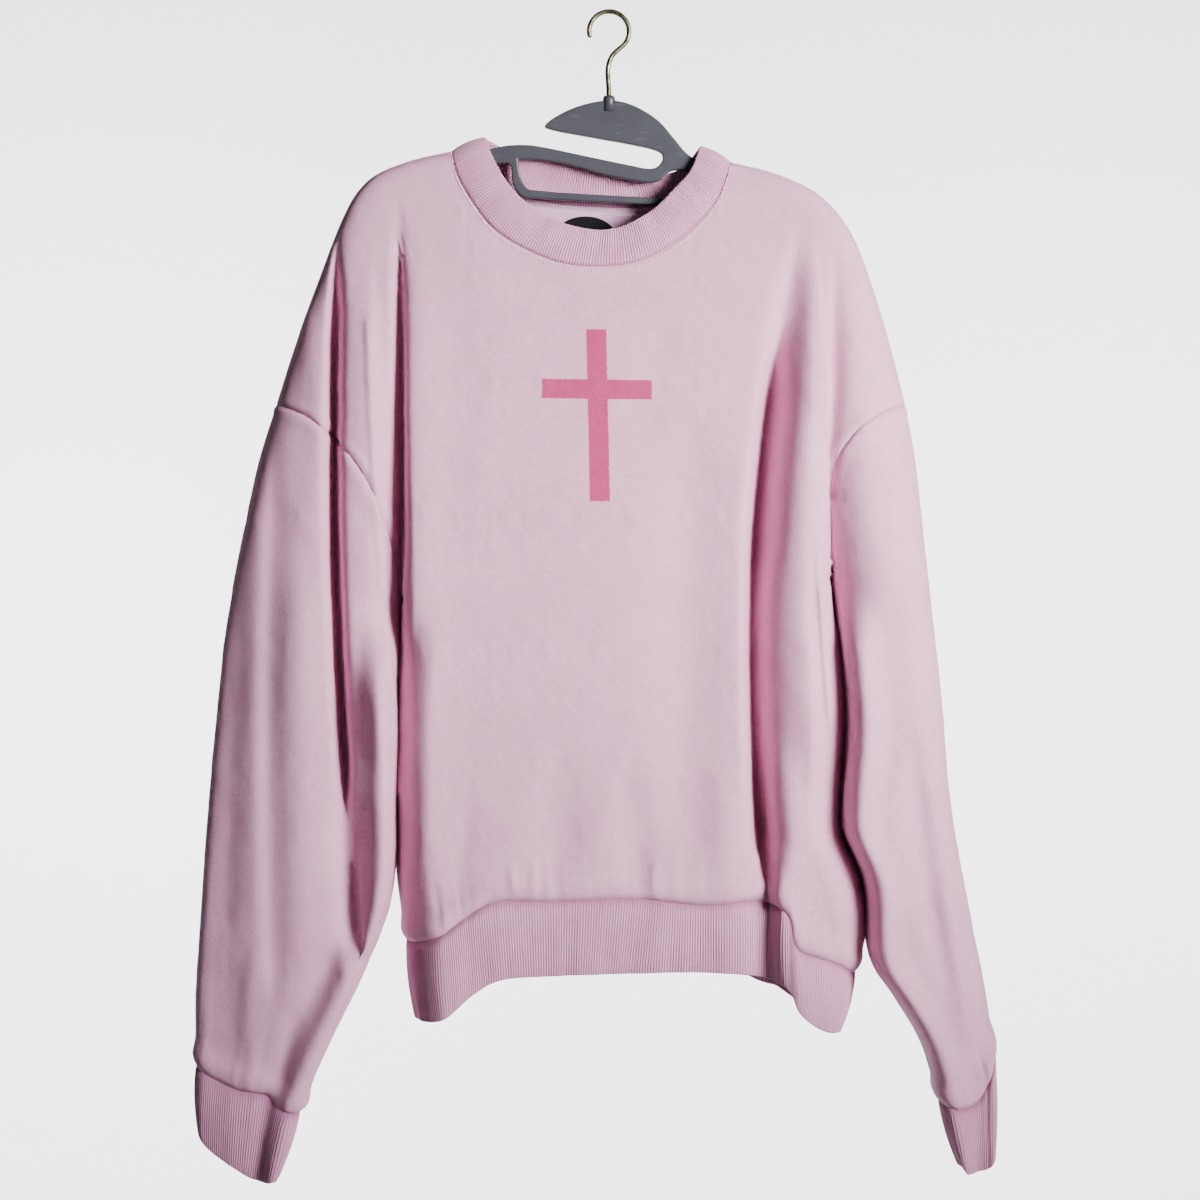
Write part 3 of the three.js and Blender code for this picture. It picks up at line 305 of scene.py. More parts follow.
def curve(rows, per_step=40):
    """A smooth curve through the rows, at even steps between each two."""
    given = np.array([row[:2] for row in rows], float)
    ends = (2 * given[0] - given[1], 2 * given[-1] - given[-2])
    p = np.vstack([ends[0], given, ends[1]])
    t = np.linspace(0, 1, per_step, endpoint=False)[:, None]
    parts = []
    for a, b, c, d in zip(p, p[1:], p[2:], p[3:]):
        before, own, after = (math.dist(q, r) ** 0.5 for q, r in ((a, b), (b, c), (c, d)))
        start = ((b - a) / before - (c - a) / (before + own) + (c - b) / own) * own
        end = ((c - b) / own - (d - b) / (own + after) + (d - c) / after) * own
        cubic = 2 * (b - c) + start + end
        square = 3 * (c - b) - 2 * start - end
        parts.append(b + start * t + square * t**2 + cubic * t**3)
    return np.vstack(parts + [given[-1:]])


def lengths(points):
    """Distance along a line of points, from its start."""
    steps = np.linalg.norm(np.diff(points, axis=0), axis=-1)
    return np.concatenate([[0.0], np.cumsum(steps)])


def along(points, shares):
    """Places at shares of a line's length."""
    run = lengths(points)
    return np.stack([np.interp(np.asarray(shares) * run[-1], run, c) for c in points.T], axis=-1)


def x_at(rows):
    """A curve down the cloth, read as x at a height."""
    points = curve(rows)
    return lambda z: np.interp(-z, -points[:, 1], points[:, 0])


def column_at(rows, column):
    """One column of a table, read at a height."""
    heights = [-row[0] for row in rows]
    values = [row[column] for row in rows]
    return lambda z: np.interp(-z, heights, values)


def line_distance(x, z, points):
    """Distance in the front view to a line of points."""
    nearest = np.full(np.shape(x), np.inf)
    for a, b in zip(points, points[1:]):
        step = b - a
        share = clamp(((x - a[0]) * step[0] + (z - a[1]) * step[1]) / max(step @ step, 1e-9))
        away = np.hypot(x - a[0] - share * step[0], z - a[1] - share * step[1])
        nearest = np.minimum(nearest, away)
    return nearest


shoulder_left = curve(SHOULDER_LEFT)
shoulder_right = curve(SHOULDER_RIGHT)
silhouette = [
    np.vstack([curve(OUTER_LEFT, 6)[::-1], curve(SHOULDER_LEFT, 6)[1:]]),
    np.vstack([curve(SHOULDER_RIGHT, 6), curve(OUTER_RIGHT, 6)[1:]]),
]
edge_at = {
    "outer_left": x_at(SHOULDER_LEFT[::-1] + OUTER_LEFT[1:]),
    "outer_right": x_at(SHOULDER_RIGHT + OUTER_RIGHT[1:]),
    "inner_left": x_at(INNER_LEFT),
    "inner_right": x_at(INNER_RIGHT),
    "side_left": x_at(SIDE_LEFT),
    "side_right": x_at(SIDE_RIGHT),
    "valley_left": x_at(VALLEY_LEFT),
    "valley_right": x_at(VALLEY_RIGHT),
}
stand_at = {
    side: [column_at(rows, column) for column in (1, 2, 3)]
    for side, rows in (("front", FRONT_STAND), ("back", BACK_STAND))
}
reach_at = column_at(EDGE_REACH, 1)
UNDERARM = {"left": INNER_LEFT[0][1], "right": INNER_RIGHT[0][1]}
FOLDS = {
    side: [(x_at(path), path[0][1], path[-1][1], *rest) for path, *rest in folds]
    for side, folds in (("front", FRONT_FOLDS), ("back", BACK_FOLDS))
}
CREASES = {"front": FRONT_CREASES, "back": BACK_CREASES}


def swell(away, height, width, centre=0.0):
    """A soft swelling across a line, or a groove where its height is below zero."""
    return height * np.exp(-(((away - centre) / width) ** 2))


def split_factor(distance, reach, z, underarm):
    """The valley between body and sleeve: open at the top, a round saddle at the underarm."""
    above = z - underarm
    saddle = rounding(above, UNDERARM_SADDLE)
    open_share = 0.2 * saddle + 0.8 * smooth(above / (VALLEY_TOP - underarm)) ** 1.2
    soft = np.hypot(distance, VALLEY_FLOOR * open_share)
    return open_share + (1 - open_share) * rounding(soft, reach)


def fold_rise(side, x, z):
    """The large folds: each fades in from its top, fades out at its end and is narrower there."""
    rise = 0
    for across, top, bottom, height, left, right in FOLDS[side]:
        away = x - across(z)
        width = np.where(away < 0, left, right)
        fade = smooth((top - z) / FOLD_START) * smooth((z - bottom) / FOLD_END)
        width = width * (0.4 + 0.6 * fade)
        rise = rise + swell(away, height * fade, width)
    return rise


def beyond(across):
    """0 on one side of a line and 1 on the other, with a soft step."""
    return 1 / (1 + np.exp(np.clip(across / STAND_BLEND, -50, 50)))


def cloth_points(piece, side, flat):
    """Where the cloth lies in depth at places of the front view."""
    x, z = flat[..., 0], flat[..., 1]
    shape = 1.0
    shift = 0.0
    reach = reach_at(z)
    for name, sign in (("left", -1), ("right", 1)):
        outer = edge_at["outer_" + name](z)
        valley = edge_at["valley_" + name](z)
        inner = edge_at["inner_" + name](z)
        below = z < UNDERARM[name]
        half = np.where(below, np.abs(inner - outer), np.abs(valley - outer)) / 2
        if piece == name:
            below_seam = smooth((ARMHOLE_TOP - z) / SLEEVE_BLEND)
            reach = reach + (np.minimum(reach, half) - reach) * below_seam
        elif piece != "body":
            continue
        own = inner if piece == name else edge_at["side_" + name](z)
        line = np.where(below, own, valley)
        distance = np.abs(x - line)
        lower = smooth((UNDERARM[name] - z) / ROUNDING_BLEND)
        tight = half + (np.minimum(half, SLEEVE_ROUNDING[side]) - half) * lower
        wide = np.where((x - line) * sign > 0, tight, BODY_ROUNDING[side][name])
        shape = shape * split_factor(distance, wide, z, UNDERARM[name])
        turn = smooth((UNDERARM[name] - z) / STAGGER_BLEND) * (1 - smooth(distance / STAGGER_REACH))
        shift = shift + (-SIDE_STAGGER if piece == name else SIDE_STAGGER) * turn
    edge = np.minimum(*(line_distance(x, z, line) for line in silhouette))
    shape = shape * rounding(edge, np.maximum(reach, 1))
    to_left = beyond(x - edge_at["valley_left"](z))
    to_right = beyond(edge_at["valley_right"](z) - x)
    left, body, right = (read(z) for read in stand_at[side])
    stand = body + (left - body) * to_left + (right - body) * to_right
    depth = stand * (1 + fold_rise(side, x, z) / FOLD_DEPTH) * shape
    return np.stack([x, shift + (-depth if side == "front" else depth), z], axis=-1)


def eased(count, ease):
    """Shares from 0 to 1, closer together at both ends by the ease."""
    even = np.linspace(0, 1, count + 1)
    return mix(even, (1 - np.cos(np.pi * even)) / 2, ease)


def fill_patch(top, bottom, left, right, weight, down):
    """Fills a four-sided outline; weight says how far a side edge pulls a place."""
    ruled = mix(top[:, None], bottom[:, None], down[None, :, None])
    across = np.linspace(0, 1, len(top))[:, None]
    pulls = (weight("left", across, down[None]), weight("right", 1 - across, down[None]))
    offsets = ((left - ruled[0])[None], (right - ruled[-1])[None])
    return ruled + sum(pull[..., None] * offset for pull, offset in zip(pulls, offsets))


# Rows lie closer together at both ends of the armhole seam
armhole_shares = 1 - (1 - np.linspace(0, 1, ARMHOLE_STEPS + 1) ** 1.5) ** 1.8
armhole_left = along(curve(ARMHOLE_LEFT), armhole_shares)
armhole_right = along(curve(ARMHOLE_RIGHT), armhole_shares)


def body_weight(side, away, down):
    """How far the armhole and side seam pull the cloth of the body."""
    high, low, low_from = SIDE_PULL[side]
    return (1 - away) ** mix(high, low, smooth(down / low_from))


def body_patch(side, neck_rows, hem_rows):
    """The grid of the front or the back: columns from left to right, rows downwards."""
    sides = eased(SIDE_STEPS, 0.3)
    left = np.vstack([armhole_left, along(curve(SIDE_LEFT), sides)[1:]])
    right = np.vstack([armhole_right, along(curve(SIDE_RIGHT), sides)[1:]])
    shoulder = np.linspace(0, 1, SHOULDER_COLUMNS + 1)
    neck = along(curve(neck_rows), eased(NECK_COLUMNS, 0.5))
    top = np.vstack([along(shoulder_left, shoulder), neck[1:-1], along(shoulder_right, shoulder)])
    middle = np.linspace(0.2, 0.76, NECK_COLUMNS + 1)[1:-1]
    shares = np.concatenate([shoulder * 0.2, middle, mix(0.76, 1, shoulder)])
    bottom = along(curve(hem_rows), shares)
    down = np.linspace(0, 1, len(left)) ** 1.5
    flat = fill_patch(top, bottom, left, right, body_weight, down)
    return cloth_points("body", side, flat)


def sleeve_patch(piece, side, armhole, outer_rows, inner_rows, cuff_rows):
    """The front or back half of a sleeve, from its outer fold to its inner one."""
    down = eased(SLEEVE_STEPS, 0.15)
    outer = along(curve(outer_rows), down)
    inner = along(curve(inner_rows), down)
    cuff = along(curve(cuff_rows), eased(ARMHOLE_STEPS, 0.7))
    flat = fill_patch(armhole, cuff, outer, inner, lambda s, away, d: (1 - away) + 0 * d, down)
    return cloth_points(piece, side, flat)


def joined(front, back):
    """Front and back of a tube as one ring, which starts at its outer fold."""
    return np.concatenate([front, back[1:-1][::-1]])


SLEEVES = {
    "left": (armhole_left, OUTER_LEFT, INNER_LEFT, CUFF_LEFT_FRONT, CUFF_LEFT_BACK),
    "right": (armhole_right, OUTER_RIGHT, INNER_RIGHT, CUFF_RIGHT_FRONT, CUFF_RIGHT_BACK),
}
panels = {
    "front": body_patch("front", NECK_FRONT, HEM_FRONT),
    "back": body_patch("back", NECK_BACK, HEM_BACK),
}
for name, (armhole, outer, inner, *cuffs) in SLEEVES.items():
    panels["sleeve_" + name] = joined(*(
        sleeve_patch(name, side, armhole, outer, inner, rows)
        for side, rows in zip(("front", "back"), cuffs)
    ))
# Grids whose columns run the other way round
FLIPPED = ("back", "sleeve_right")


def wrapped(grid, ring):
    """A ring with its first column again at the end; other grids stay as they are."""
    return np.concatenate([grid, grid[:1]]) if ring else grid


def panel_normals():
    """Outward directions, shared where panels meet at a seam."""
    places, sums = [], []
    for name, grid in panels.items():
        ring = name.startswith("sleeve")
        g = wrapped(grid, ring)
        across = g[1:, 1:] - g[:-1, :-1]
        down = g[:-1, 1:] - g[1:, :-1]
        face = np.cross(across, down) * (1 if name in FLIPPED else -1)
        total = np.zeros_like(g)
        for a, b in ((slice(None, -1), slice(None, -1)), (slice(1, None), slice(None, -1)),
                     (slice(None, -1), slice(1, None)), (slice(1, None), slice(1, None))):
            total[a, b] += face
        if ring:
            total[0] += total[-1]
            total = total[:-1]
        places.append(grid.reshape(-1, 3))
        sums.append(total.reshape(-1, 3))
    keys = np.round(np.vstack(places), 2)
    index = np.unique(keys, axis=0, return_inverse=True)[1].reshape(-1)
    total = np.zeros((index.max() + 1, 3))
    np.add.at(total, index, np.vstack(sums))
    whole = unit(total[index])
    normals, start = {}, 0
    for name, grid in panels.items():
        count = grid.shape[0] * grid.shape[1]
        normals[name] = whole[start:start + count].reshape(grid.shape)
        start += count
    return normals


def crease_rise(side, x, z):
    """The small creases, which lie on top of the large folds."""
    rise = 0
    for path, height, width in CREASES[side]:
        rise = rise + swell(line_distance(x, z, curve(path, 6)), height, width)
    return rise


def uneven(value, seed, pitch):
    """A slow uneven wave, about one unit high."""
    rng = np.random.default_rng(seed)
    total = 0
    for factor in (1.0, 1.63, 2.41, 3.7):
        phase = rng.uniform(0, 2 * np.pi)
        total = total + np.sin(2 * np.pi * value * factor / pitch + phase) / factor**0.6
    return total / 2


def detail(name, grid):
    """Creases, puckers at the seams and slack above the bands, along the normal."""
    in_front = np.full(grid.shape[:2], name != "back")
    ring = name.startswith("sleeve")
    if ring:
        in_front[ARMHOLE_STEPS + 1:] = False
    x, z = grid[..., 0], grid[..., 2]
    rise = np.where(in_front, crease_rise("front", x, z), crease_rise("back", x, z))
    steps = np.linalg.norm(np.diff(grid, axis=1), axis=-1)
    from_top = np.pad(np.cumsum(steps, axis=1), ((0, 0), (1, 0)))
    to_bottom = from_top[:, -1:] - from_top
    around = lengths(grid[:, -1])[:, None]
    seed = len(name)
    pucker = uneven(around, seed, 60) * uneven(around, seed + 5, 31)
    rise = rise + 1.5 * pucker * np.exp(-to_bottom / 22) * (1 - np.exp(-to_bottom / 4))
    slack_above_band = swell(to_bottom, 3.2, 9, 9) - swell(to_bottom, 1.0, 2.2)
    seams = (curve(ARMHOLE_LEFT, 8), curve(ARMHOLE_RIGHT, 8))
    away = np.minimum(*(line_distance(x, z, seam) for seam in seams))
    armhole_groove = swell(away, -0.9, 1.6) + swell(away, 0.7, 3, 5)
    armhole_pucker = 0.5 * uneven(z - 0.3 * x, seed + 9, 21) * np.exp(-away / 9)
    rise = rise + slack_above_band + armhole_groove + armhole_pucker
    if not ring:
        neck = slice(SHOULDER_COLUMNS, SHOULDER_COLUMNS + NECK_COLUMNS + 1)
        rise[neck] += swell(from_top[neck], -0.6, 1.5)
        edge = np.minimum(*(line_distance(x, z, line) for line in silhouette))
        rise = rise * smooth((edge - 0.5) / 4)
    waviness = 0.35 * uneven(x + 0.2 * z, 3, 33) * uneven(z, 4, 71)
    return rise + waviness * smooth(from_top / 20)


def placed(name, data):
    """A new object in the scene for a mesh, curve, light or camera."""
    obj = bpy.data.objects.new(name, data)
    bpy.context.collection.objects.link(obj)
    return obj


def plain_mesh(obj):
    """The mesh that an object's curve or modifiers make."""
    depsgraph = bpy.context.evaluated_depsgraph_get()
    return bpy.data.meshes.new_from_object(obj.evaluated_get(depsgraph))


def write_mesh(name, points, faces, uvs, attributes, material_of):
    """A mesh from arrays: places in millimetres, four-sided faces, and UVs per face corner."""
    mesh = bpy.data.meshes.new(name)
    faces = np.asarray(faces)
    mesh.vertices.add(len(points))
    mesh.vertices.foreach_set("co", (np.asarray(points) * MM).reshape(-1))
    mesh.loops.add(faces.size)
    mesh.loops.foreach_set("vertex_index", faces.reshape(-1).astype(np.int32))
    mesh.polygons.add(len(faces))
    mesh.polygons.foreach_set("loop_start", np.arange(0, faces.size, 4, dtype=np.int32))
    mesh.polygons.foreach_set("material_index", np.asarray(material_of, dtype=np.int32))
    layer = mesh.uv_layers.new(name="cloth")
    layer.uv.foreach_set("vector", (np.asarray(uvs) * MM).reshape(-1))
    for label, values in (attributes or {}).items():
        entry = mesh.attributes.new(label, "FLOAT", "POINT")
        entry.data.foreach_set("value", np.asarray(values, dtype=np.float32))
    mesh.update()
    mesh.validate()
    mesh.shade_smooth()
    return placed(name, mesh)


def facing_out(points, faces, uvs):
    """Turns every face round where the closed surface is inside out."""
    p = points[faces]
    volume = np.einsum("ij,ij->i", p[:, 0], np.cross(p[:, 1], p[:, 2])).sum()
    volume += np.einsum("ij,ij->i", p[:, 0], np.cross(p[:, 2], p[:, 3])).sum()
    if volume < 0:
        return faces[:, ::-1], uvs[:, ::-1]
    return faces, uvs


def shell_object(name, section, ring, section_uv, round_uv, material_rows, attributes=None):
    """A closed solid from a grid whose columns are closed sections."""
    columns, rows = section.shape[:2]
    index = np.arange(columns * rows).reshape(columns, rows)
    step = columns if ring else columns - 1
    i = np.arange(step)[:, None]
    j = np.arange(rows)[None, :]
    i_next, j_next = (i + 1) % columns, (j + 1) % rows
    quads = np.stack([index[i, j], index[i, j_next], index[i_next, j_next], index[i_next, j]], -1)
    faces = quads.reshape(-1, 4)
    u = np.broadcast_to(round_uv[:, None], (step + 1, rows + 1))
    v = np.broadcast_to(section_uv, (step + 1, rows + 1))
    place = np.stack([u, v], -1)
    corners = (place[:-1, :-1], place[:-1, 1:], place[1:, 1:], place[1:, :-1])
    uvs = np.stack(corners, 2).reshape(-1, 4, 2)
    material = np.tile(np.asarray(material_rows), step)
    points = section.reshape(-1, 3)
    if not ring:
        caps, cap_uvs = end_caps(index, uvs)
        faces = np.vstack([faces, caps])
        uvs = np.vstack([uvs, cap_uvs])
        material = np.concatenate([material, np.zeros(len(caps), int)])
    faces, uvs = facing_out(points, faces, uvs)
    return write_mesh(name, points, faces, uvs, attributes, material)


def end_caps(index, uvs):
    """Closes both ends of a strip of sections, row by row between its two faces."""
    rows = index.shape[1]
    half = rows // 2
    caps = []
    for column, turned in ((index[0], False), (index[-1], True)):
        for j in range(half - 1):
            face = [column[j], column[rows - 1 - j], column[rows - 2 - j], column[j + 1]]
            caps.append(face[::-1] if turned else face)
    return np.array(caps), np.zeros((len(caps), 4, 2)) + uvs[0, 0]


def panel_object(name, grid, normals):
    """A cut piece of jersey as a closed double wall; also gives its outer places."""
    ring = name.startswith("sleeve")
    outer = grid + normals * detail(name, grid)[..., None]
    inner = outer - normals * CLOTH
    section = np.concatenate([outer, inner[:, ::-1]], axis=1)
    rows = grid.shape[1]
    run = lengths(grid[grid.shape[0] // 3])
    section_uv = np.concatenate([run, run[::-1], run[:1]])
    round_uv = lengths(wrapped(grid, ring)[:, rows // 2])
    sides = np.concatenate([np.zeros(rows), np.ones(rows - 1), np.zeros(1)]).astype(int)
    obj = shell_object(name + "_cloth", section, ring, section_uv, round_uv, sides)
    return obj, outer


def ring_sample(values, places):
    """Values of a closed ring of columns at fractional column numbers."""
    low = np.floor(places).astype(int)
    share = (places - low).reshape((-1,) + (1,) * (values.ndim - 1))
    count = len(values)
    return mix(values[low % count], values[(low + 1) % count], share)


def edge_line(rows, seam):
    """The band's free edge, at the same shares of the rows as its seam."""
    fine = 30
    seam_curve = curve(rows, fine)
    edge_curve = curve([row[2:4] for row in rows], fine)
    steps = np.arange(len(seam_curve))
    lean = np.interp(steps, np.arange(len(rows)) * fine, [row[4] for row in rows])
    run, whole = lengths(seam[:, [0, 2]]), lengths(seam_curve)
    place = np.interp(run / run[-1] * whole[-1], whole, steps)
    x, z, back = (np.interp(place, steps, values) for values in (*edge_curve.T, lean))
    kernel = np.hanning(11) / np.hanning(11).sum()
    y = np.convolve(np.pad(seam[:, 1], 5, "reflect", reflect_type="odd"), kernel, "valid")
    return np.stack([x, y + back, z], axis=-1)


def band_directions(seam, normals, edge):
    """Outward directions of a band half way down, evened out a little round the ring."""
    around = np.roll(edge + seam, -1, axis=0) - np.roll(edge + seam, 1, axis=0)
    across = unit(np.cross(around, edge - seam))
    across *= np.sign((across * normals).sum(-1, keepdims=True))
    kernel = np.array([1, 2, 3, 2, 1]) / 9
    return unit(sum(k * np.roll(across, s - 2, axis=0) for s, k in enumerate(kernel)))


def band_object(name, seam, normals, edge, rows, bow, seed, samples=5):
    """A folded band of rib knit from a seam ring to its free edge, ribbed on both faces."""
    run = lengths(wrapped(mix(seam, edge, 0.5), True))
    ribs = round(run[-1] / RIB_PITCH)
    columns = ribs * samples
    even = np.arange(columns) / columns * run[-1]
    places = np.interp(even, run, np.arange(len(run)))
    top, low = ring_sample(seam, places), ring_sample(edge, places)
    n_top = unit(ring_sample(normals, places))
    n_low = unit(ring_sample(band_directions(seam, normals, edge), places))
    wave = (0.5 + 0.5 * np.cos(2 * np.pi * np.arange(columns) / samples)) ** 0.75
    rng = np.random.default_rng(seed)
    wave = wave * np.repeat(rng.uniform(0.9, 1.05, ribs), samples)
    flare = 0.8 * uneven(even, seed, 61)
    down = np.linspace(0, 1, rows + 1)
    outer, inner, height = [], [], []
    for share in down:
        normal = unit(mix(n_top, n_low, smooth(share * 3)))
        out = (bow * math.sin(math.pi * share) + flare * smooth(share))[:, None] * normal
        base = mix(top, low, share) + out
        rib = (wave * smooth(share * 14 + 0.15))[:, None]
        outer.append(base + normal * (RIB_HEIGHT * rib - 0.1))
        inner.append(base - normal * (RIB_CLOTH - RIB_HEIGHT * (1 - rib)))
        height.append(rib[:, 0])
    below = unit(low - top)
    middle, half = (outer[-1] + inner[-1]) / 2, (outer[-1] - inner[-1]) / 2
    turns = [middle + half * math.cos(a) + below * 1.15 * math.sin(a) for a in (0.8, 1.57, 2.35)]
    section = np.stack(outer + turns + inner[::-1], axis=1)
    # Rib height at each place, which the rib material turns into painted shade in the grooves
    ridge = np.stack(height + [height[-1]] * 3 + height[::-1], axis=1)
    depth = np.linalg.norm(low - top, axis=1).mean()
    v = np.concatenate([down * depth, depth + np.array([1.0, 2, 3]), (down * depth)[::-1], [0]])
    one_material = np.zeros(section.shape[1], int)
    return shell_object(name + "_knit", section, True, v, np.append(even, run[-1]), one_material,
                        {"ridge": ridge.reshape(-1)})


def srgb(red, green, blue):
    """A given colour, as the shader wants it."""
    return [((c / 255 + 0.055) / 1.055) ** 2.4 if c > 10 else c / 255 / 12.92
            for c in (red, green, blue)] + [1.0]


class Socket:
    """An output in a material's node tree that takes part in sums."""

    def __init__(self, tree, out):
        self.tree = tree
        self.out = out

    def math(self, operation, *others):
        node = self.tree.nodes.new("ShaderNodeMath")
        node.operation = operation
        for entry, term in zip(node.inputs, (self, *others)):
            put(self.tree, entry, term)
        return Socket(self.tree, node.outputs[0])

    def __add__(self, other):
        return self.math("ADD", other)

    def __sub__(self, other):
        return self.math("SUBTRACT", other)

    def __rsub__(self, other):
        return self * -1.0 + other

    def __mul__(self, other):
        return self.math("MULTIPLY", other)

    def __truediv__(self, other):
        return self.math("DIVIDE", other)

    __radd__ = __add__
    __rmul__ = __mul__

    def clamped(self):
        return self.math("MAXIMUM", 0.0).math("MINIMUM", 1.0)


def put(tree, entry, value):
    """Links an output to an input, or sets the input itself."""
    if isinstance(value, Socket):
        tree.links.new(value.out, entry)
    else:
        entry.default_value = value


class Finish:
    """Builds one material from named nodes."""

    def __init__(self, name):
        self.material = bpy.data.materials.new(name)
        self.material.use_nodes = True
        self.tree = self.material.node_tree
        self.tree.nodes.clear()

    def node(self, kind, inputs=None, output=0, **settings):
        node = self.tree.nodes.new("ShaderNode" + kind)
        for key, value in settings.items():
            setattr(node, key, value)
        for key, value in (inputs or {}).items():
            put(self.tree, node.inputs[key], value)
        return Socket(self.tree, node.outputs[output])

    def here(self):
        """The place on the object, in metres."""
        return self.node("TexCoord", output=3)

    def axis(self, place, number):
        return self.node("SeparateXYZ", {"Vector": place}, output=number)

    def noise(self, where, scale, detail=3.0, roughness=0.55):
        inputs = {"Vector": where, "Scale": scale, "Detail": detail, "Roughness": roughness}
        return self.node("TexNoise", inputs)

    def streaks(self, where, scales, detail=3.0):
        """Noise drawn out along an axis: one scale for each axis."""
        return self.noise(self.node("Mapping", {"Vector": where, "Scale": scales}), 1.0, detail)

    def ramp(self, value, low, high):
        """0 at low, 1 at high, smooth between."""
        inputs = {"Value": value, "From Min": low, "From Max": high}
        return self.node("MapRange", inputs, interpolation_type="SMOOTHSTEP")

    def blend(self, share, a, b):
        node = self.tree.nodes.new("ShaderNodeMix")
        node.data_type = "RGBA"
        for entry, value in ((0, share), (6, a), (7, b)):
            put(self.tree, node.inputs[entry], value)
        return Socket(self.tree, node.outputs[2])

    def bump(self, height, distance, strength=1.0):
        return self.node("Bump", {"Height": height, "Distance": distance, "Strength": strength})

    def done(self, **inputs):
        named = {key.replace("_", " "): value for key, value in inputs.items()}
        surface = self.node("BsdfPrincipled", named)
        out = self.tree.nodes.new("ShaderNodeOutputMaterial")
        self.tree.links.new(surface.out, out.inputs["Surface"])
        return self.material


FLEECE = srgb(230, 173, 201)
FLEECE_DEEP = srgb(200, 138, 170)
INSIDE = srgb(232, 170, 208)
INSIDE_DEEP = srgb(196, 166, 190)
OVAL_PRINT = srgb(14, 13, 16)
RIB = srgb(226, 168, 198)
# Darker rib colour: painted shade for the rib grooves, and also random tone
RIB_GROOVE_SHADE_AND_TONE = srgb(170, 104, 140)
PRINT = srgb(170, 44, 100)
PRINT_LIGHT = srgb(184, 62, 116)
THREAD = srgb(248, 222, 236)
THREAD_DEEP = srgb(232, 198, 216)
PLASTIC = srgb(60, 60, 67)
PLASTIC_LIGHT = srgb(70, 70, 77)
PLASTIC_SCUFF = srgb(108, 109, 118)
WIRE = srgb(150, 142, 120)
WIRE_TARNISH = srgb(92, 82, 62)
PAPER = srgb(250, 250, 250)
PAPER_DEEP = srgb(244, 244, 245)

# Prints in the front view, in metres: centre (x, z), then half their width and height
CROSS_UPRIGHT = ((-0.0088, -0.3234), (0.0079, 0.0680))
CROSS_BAR = ((-0.0096, -0.3031), (0.0432, 0.0077))
OVAL = ((-0.019, -0.1757), (0.0245, 0.0160))
PRINT_EDGE = 0.0004
# Length of one stitch of the rib knit
RIB_STITCH = 0.0009


def knit_surface(finish):
    """Heather, knit grain and a soft nap for jersey: its colour and its bump."""
    here = finish.here()
    cloudy = finish.noise(here, 26.0, 4.0)
    speckle = finish.noise(here, 760.0, 4.0, 0.7)
    wales = finish.streaks(here, (1150, 1150, 330), 2.0)
    heather = finish.streaks(here, (240, 240, 420))
    share = (cloudy * 0.5 + speckle + heather * 0.7 + wales * 0.4 - 0.85).clamped()
    colour = finish.blend(share, FLEECE, FLEECE_DEEP)
    return colour, finish.bump(wales * 0.9 + speckle * 1.3, 0.00035, 0.6)


def fleece_outside():
    finish = Finish("fleece")
    colour, bump = knit_surface(finish)
    return finish.done(Base_Color=colour, Normal=bump, Roughness=0.92, Sheen_Weight=0.08,
                       Sheen_Roughness=0.55, Specular_IOR_Level=0.22)


def box_mask(finish, x, z, centre, half):
    """1 inside a rectangle of the front view, with soft edges."""
    across = (x - centre[0]).math("ABSOLUTE")
    up = (z - centre[1]).math("ABSOLUTE")
    inside_x = finish.ramp(across, half[0] + PRINT_EDGE, half[0] - PRINT_EDGE)
    inside_z = finish.ramp(up, half[1] + PRINT_EDGE, half[1] - PRINT_EDGE)
    return inside_x * inside_z


def fleece_front():
    """The front's jersey with the flat print of a two-bar cross, which leans a little."""
    finish = Finish("fleece_front_print")
    colour, bump = knit_surface(finish)
    here = finish.here()
    wobble = (finish.noise(here, 420.0, 3.0) - 0.5) * 0.0016
    x, z = (finish.axis(here, number) + wobble for number in (0, 2))
    upright = box_mask(finish, x + (z + 0.32) * 0.022, z, *CROSS_UPRIGHT)
    bar = box_mask(finish, x, z + (x + 0.01) * 0.012, *CROSS_BAR)
    worn = finish.ramp(finish.noise(here, 1500.0, 2.0, 0.6), 0.28, 0.42)
    mask = upright.math("MAXIMUM", bar) * (worn * 0.16 + 0.84)
    ink = finish.blend(finish.noise(here, 300.0, 3.0), PRINT, PRINT_LIGHT)
    return finish.done(Base_Color=finish.blend(mask, colour, ink), Normal=bump,
                       Roughness=mask * -0.2 + 0.92, Sheen_Weight=0.08,
                       Sheen_Roughness=0.55, Specular_IOR_Level=0.25)


def fleece_inside():
    """The brushed inner face, with the plain dark oval under the back neck."""
    finish = Finish("fleece_inside")
    here = finish.here()
    fluff = finish.noise(here, 260.0, 5.0, 0.65)
    bump = finish.bump(fluff + finish.noise(here, 1100.0, 3.0), 0.0005, 0.6)
    x, y, z = (finish.axis(here, number) for number in range(3))
    centre, half = OVAL
    across, up = (x - centre[0]) / half[0], (z - centre[1]) / half[1]
    on_back = finish.ramp(y, -0.002, 0.002)
    oval = finish.ramp(across * across + up * up, 1.03, 0.97) * on_back
    colour = finish.blend(oval, finish.blend(fluff, INSIDE, INSIDE_DEEP), OVAL_PRINT)
    return finish.done(Base_Color=colour, Normal=bump, Roughness=0.95, Sheen_Weight=0.12,
                       Sheen_Roughness=0.5, Specular_IOR_Level=0.2)


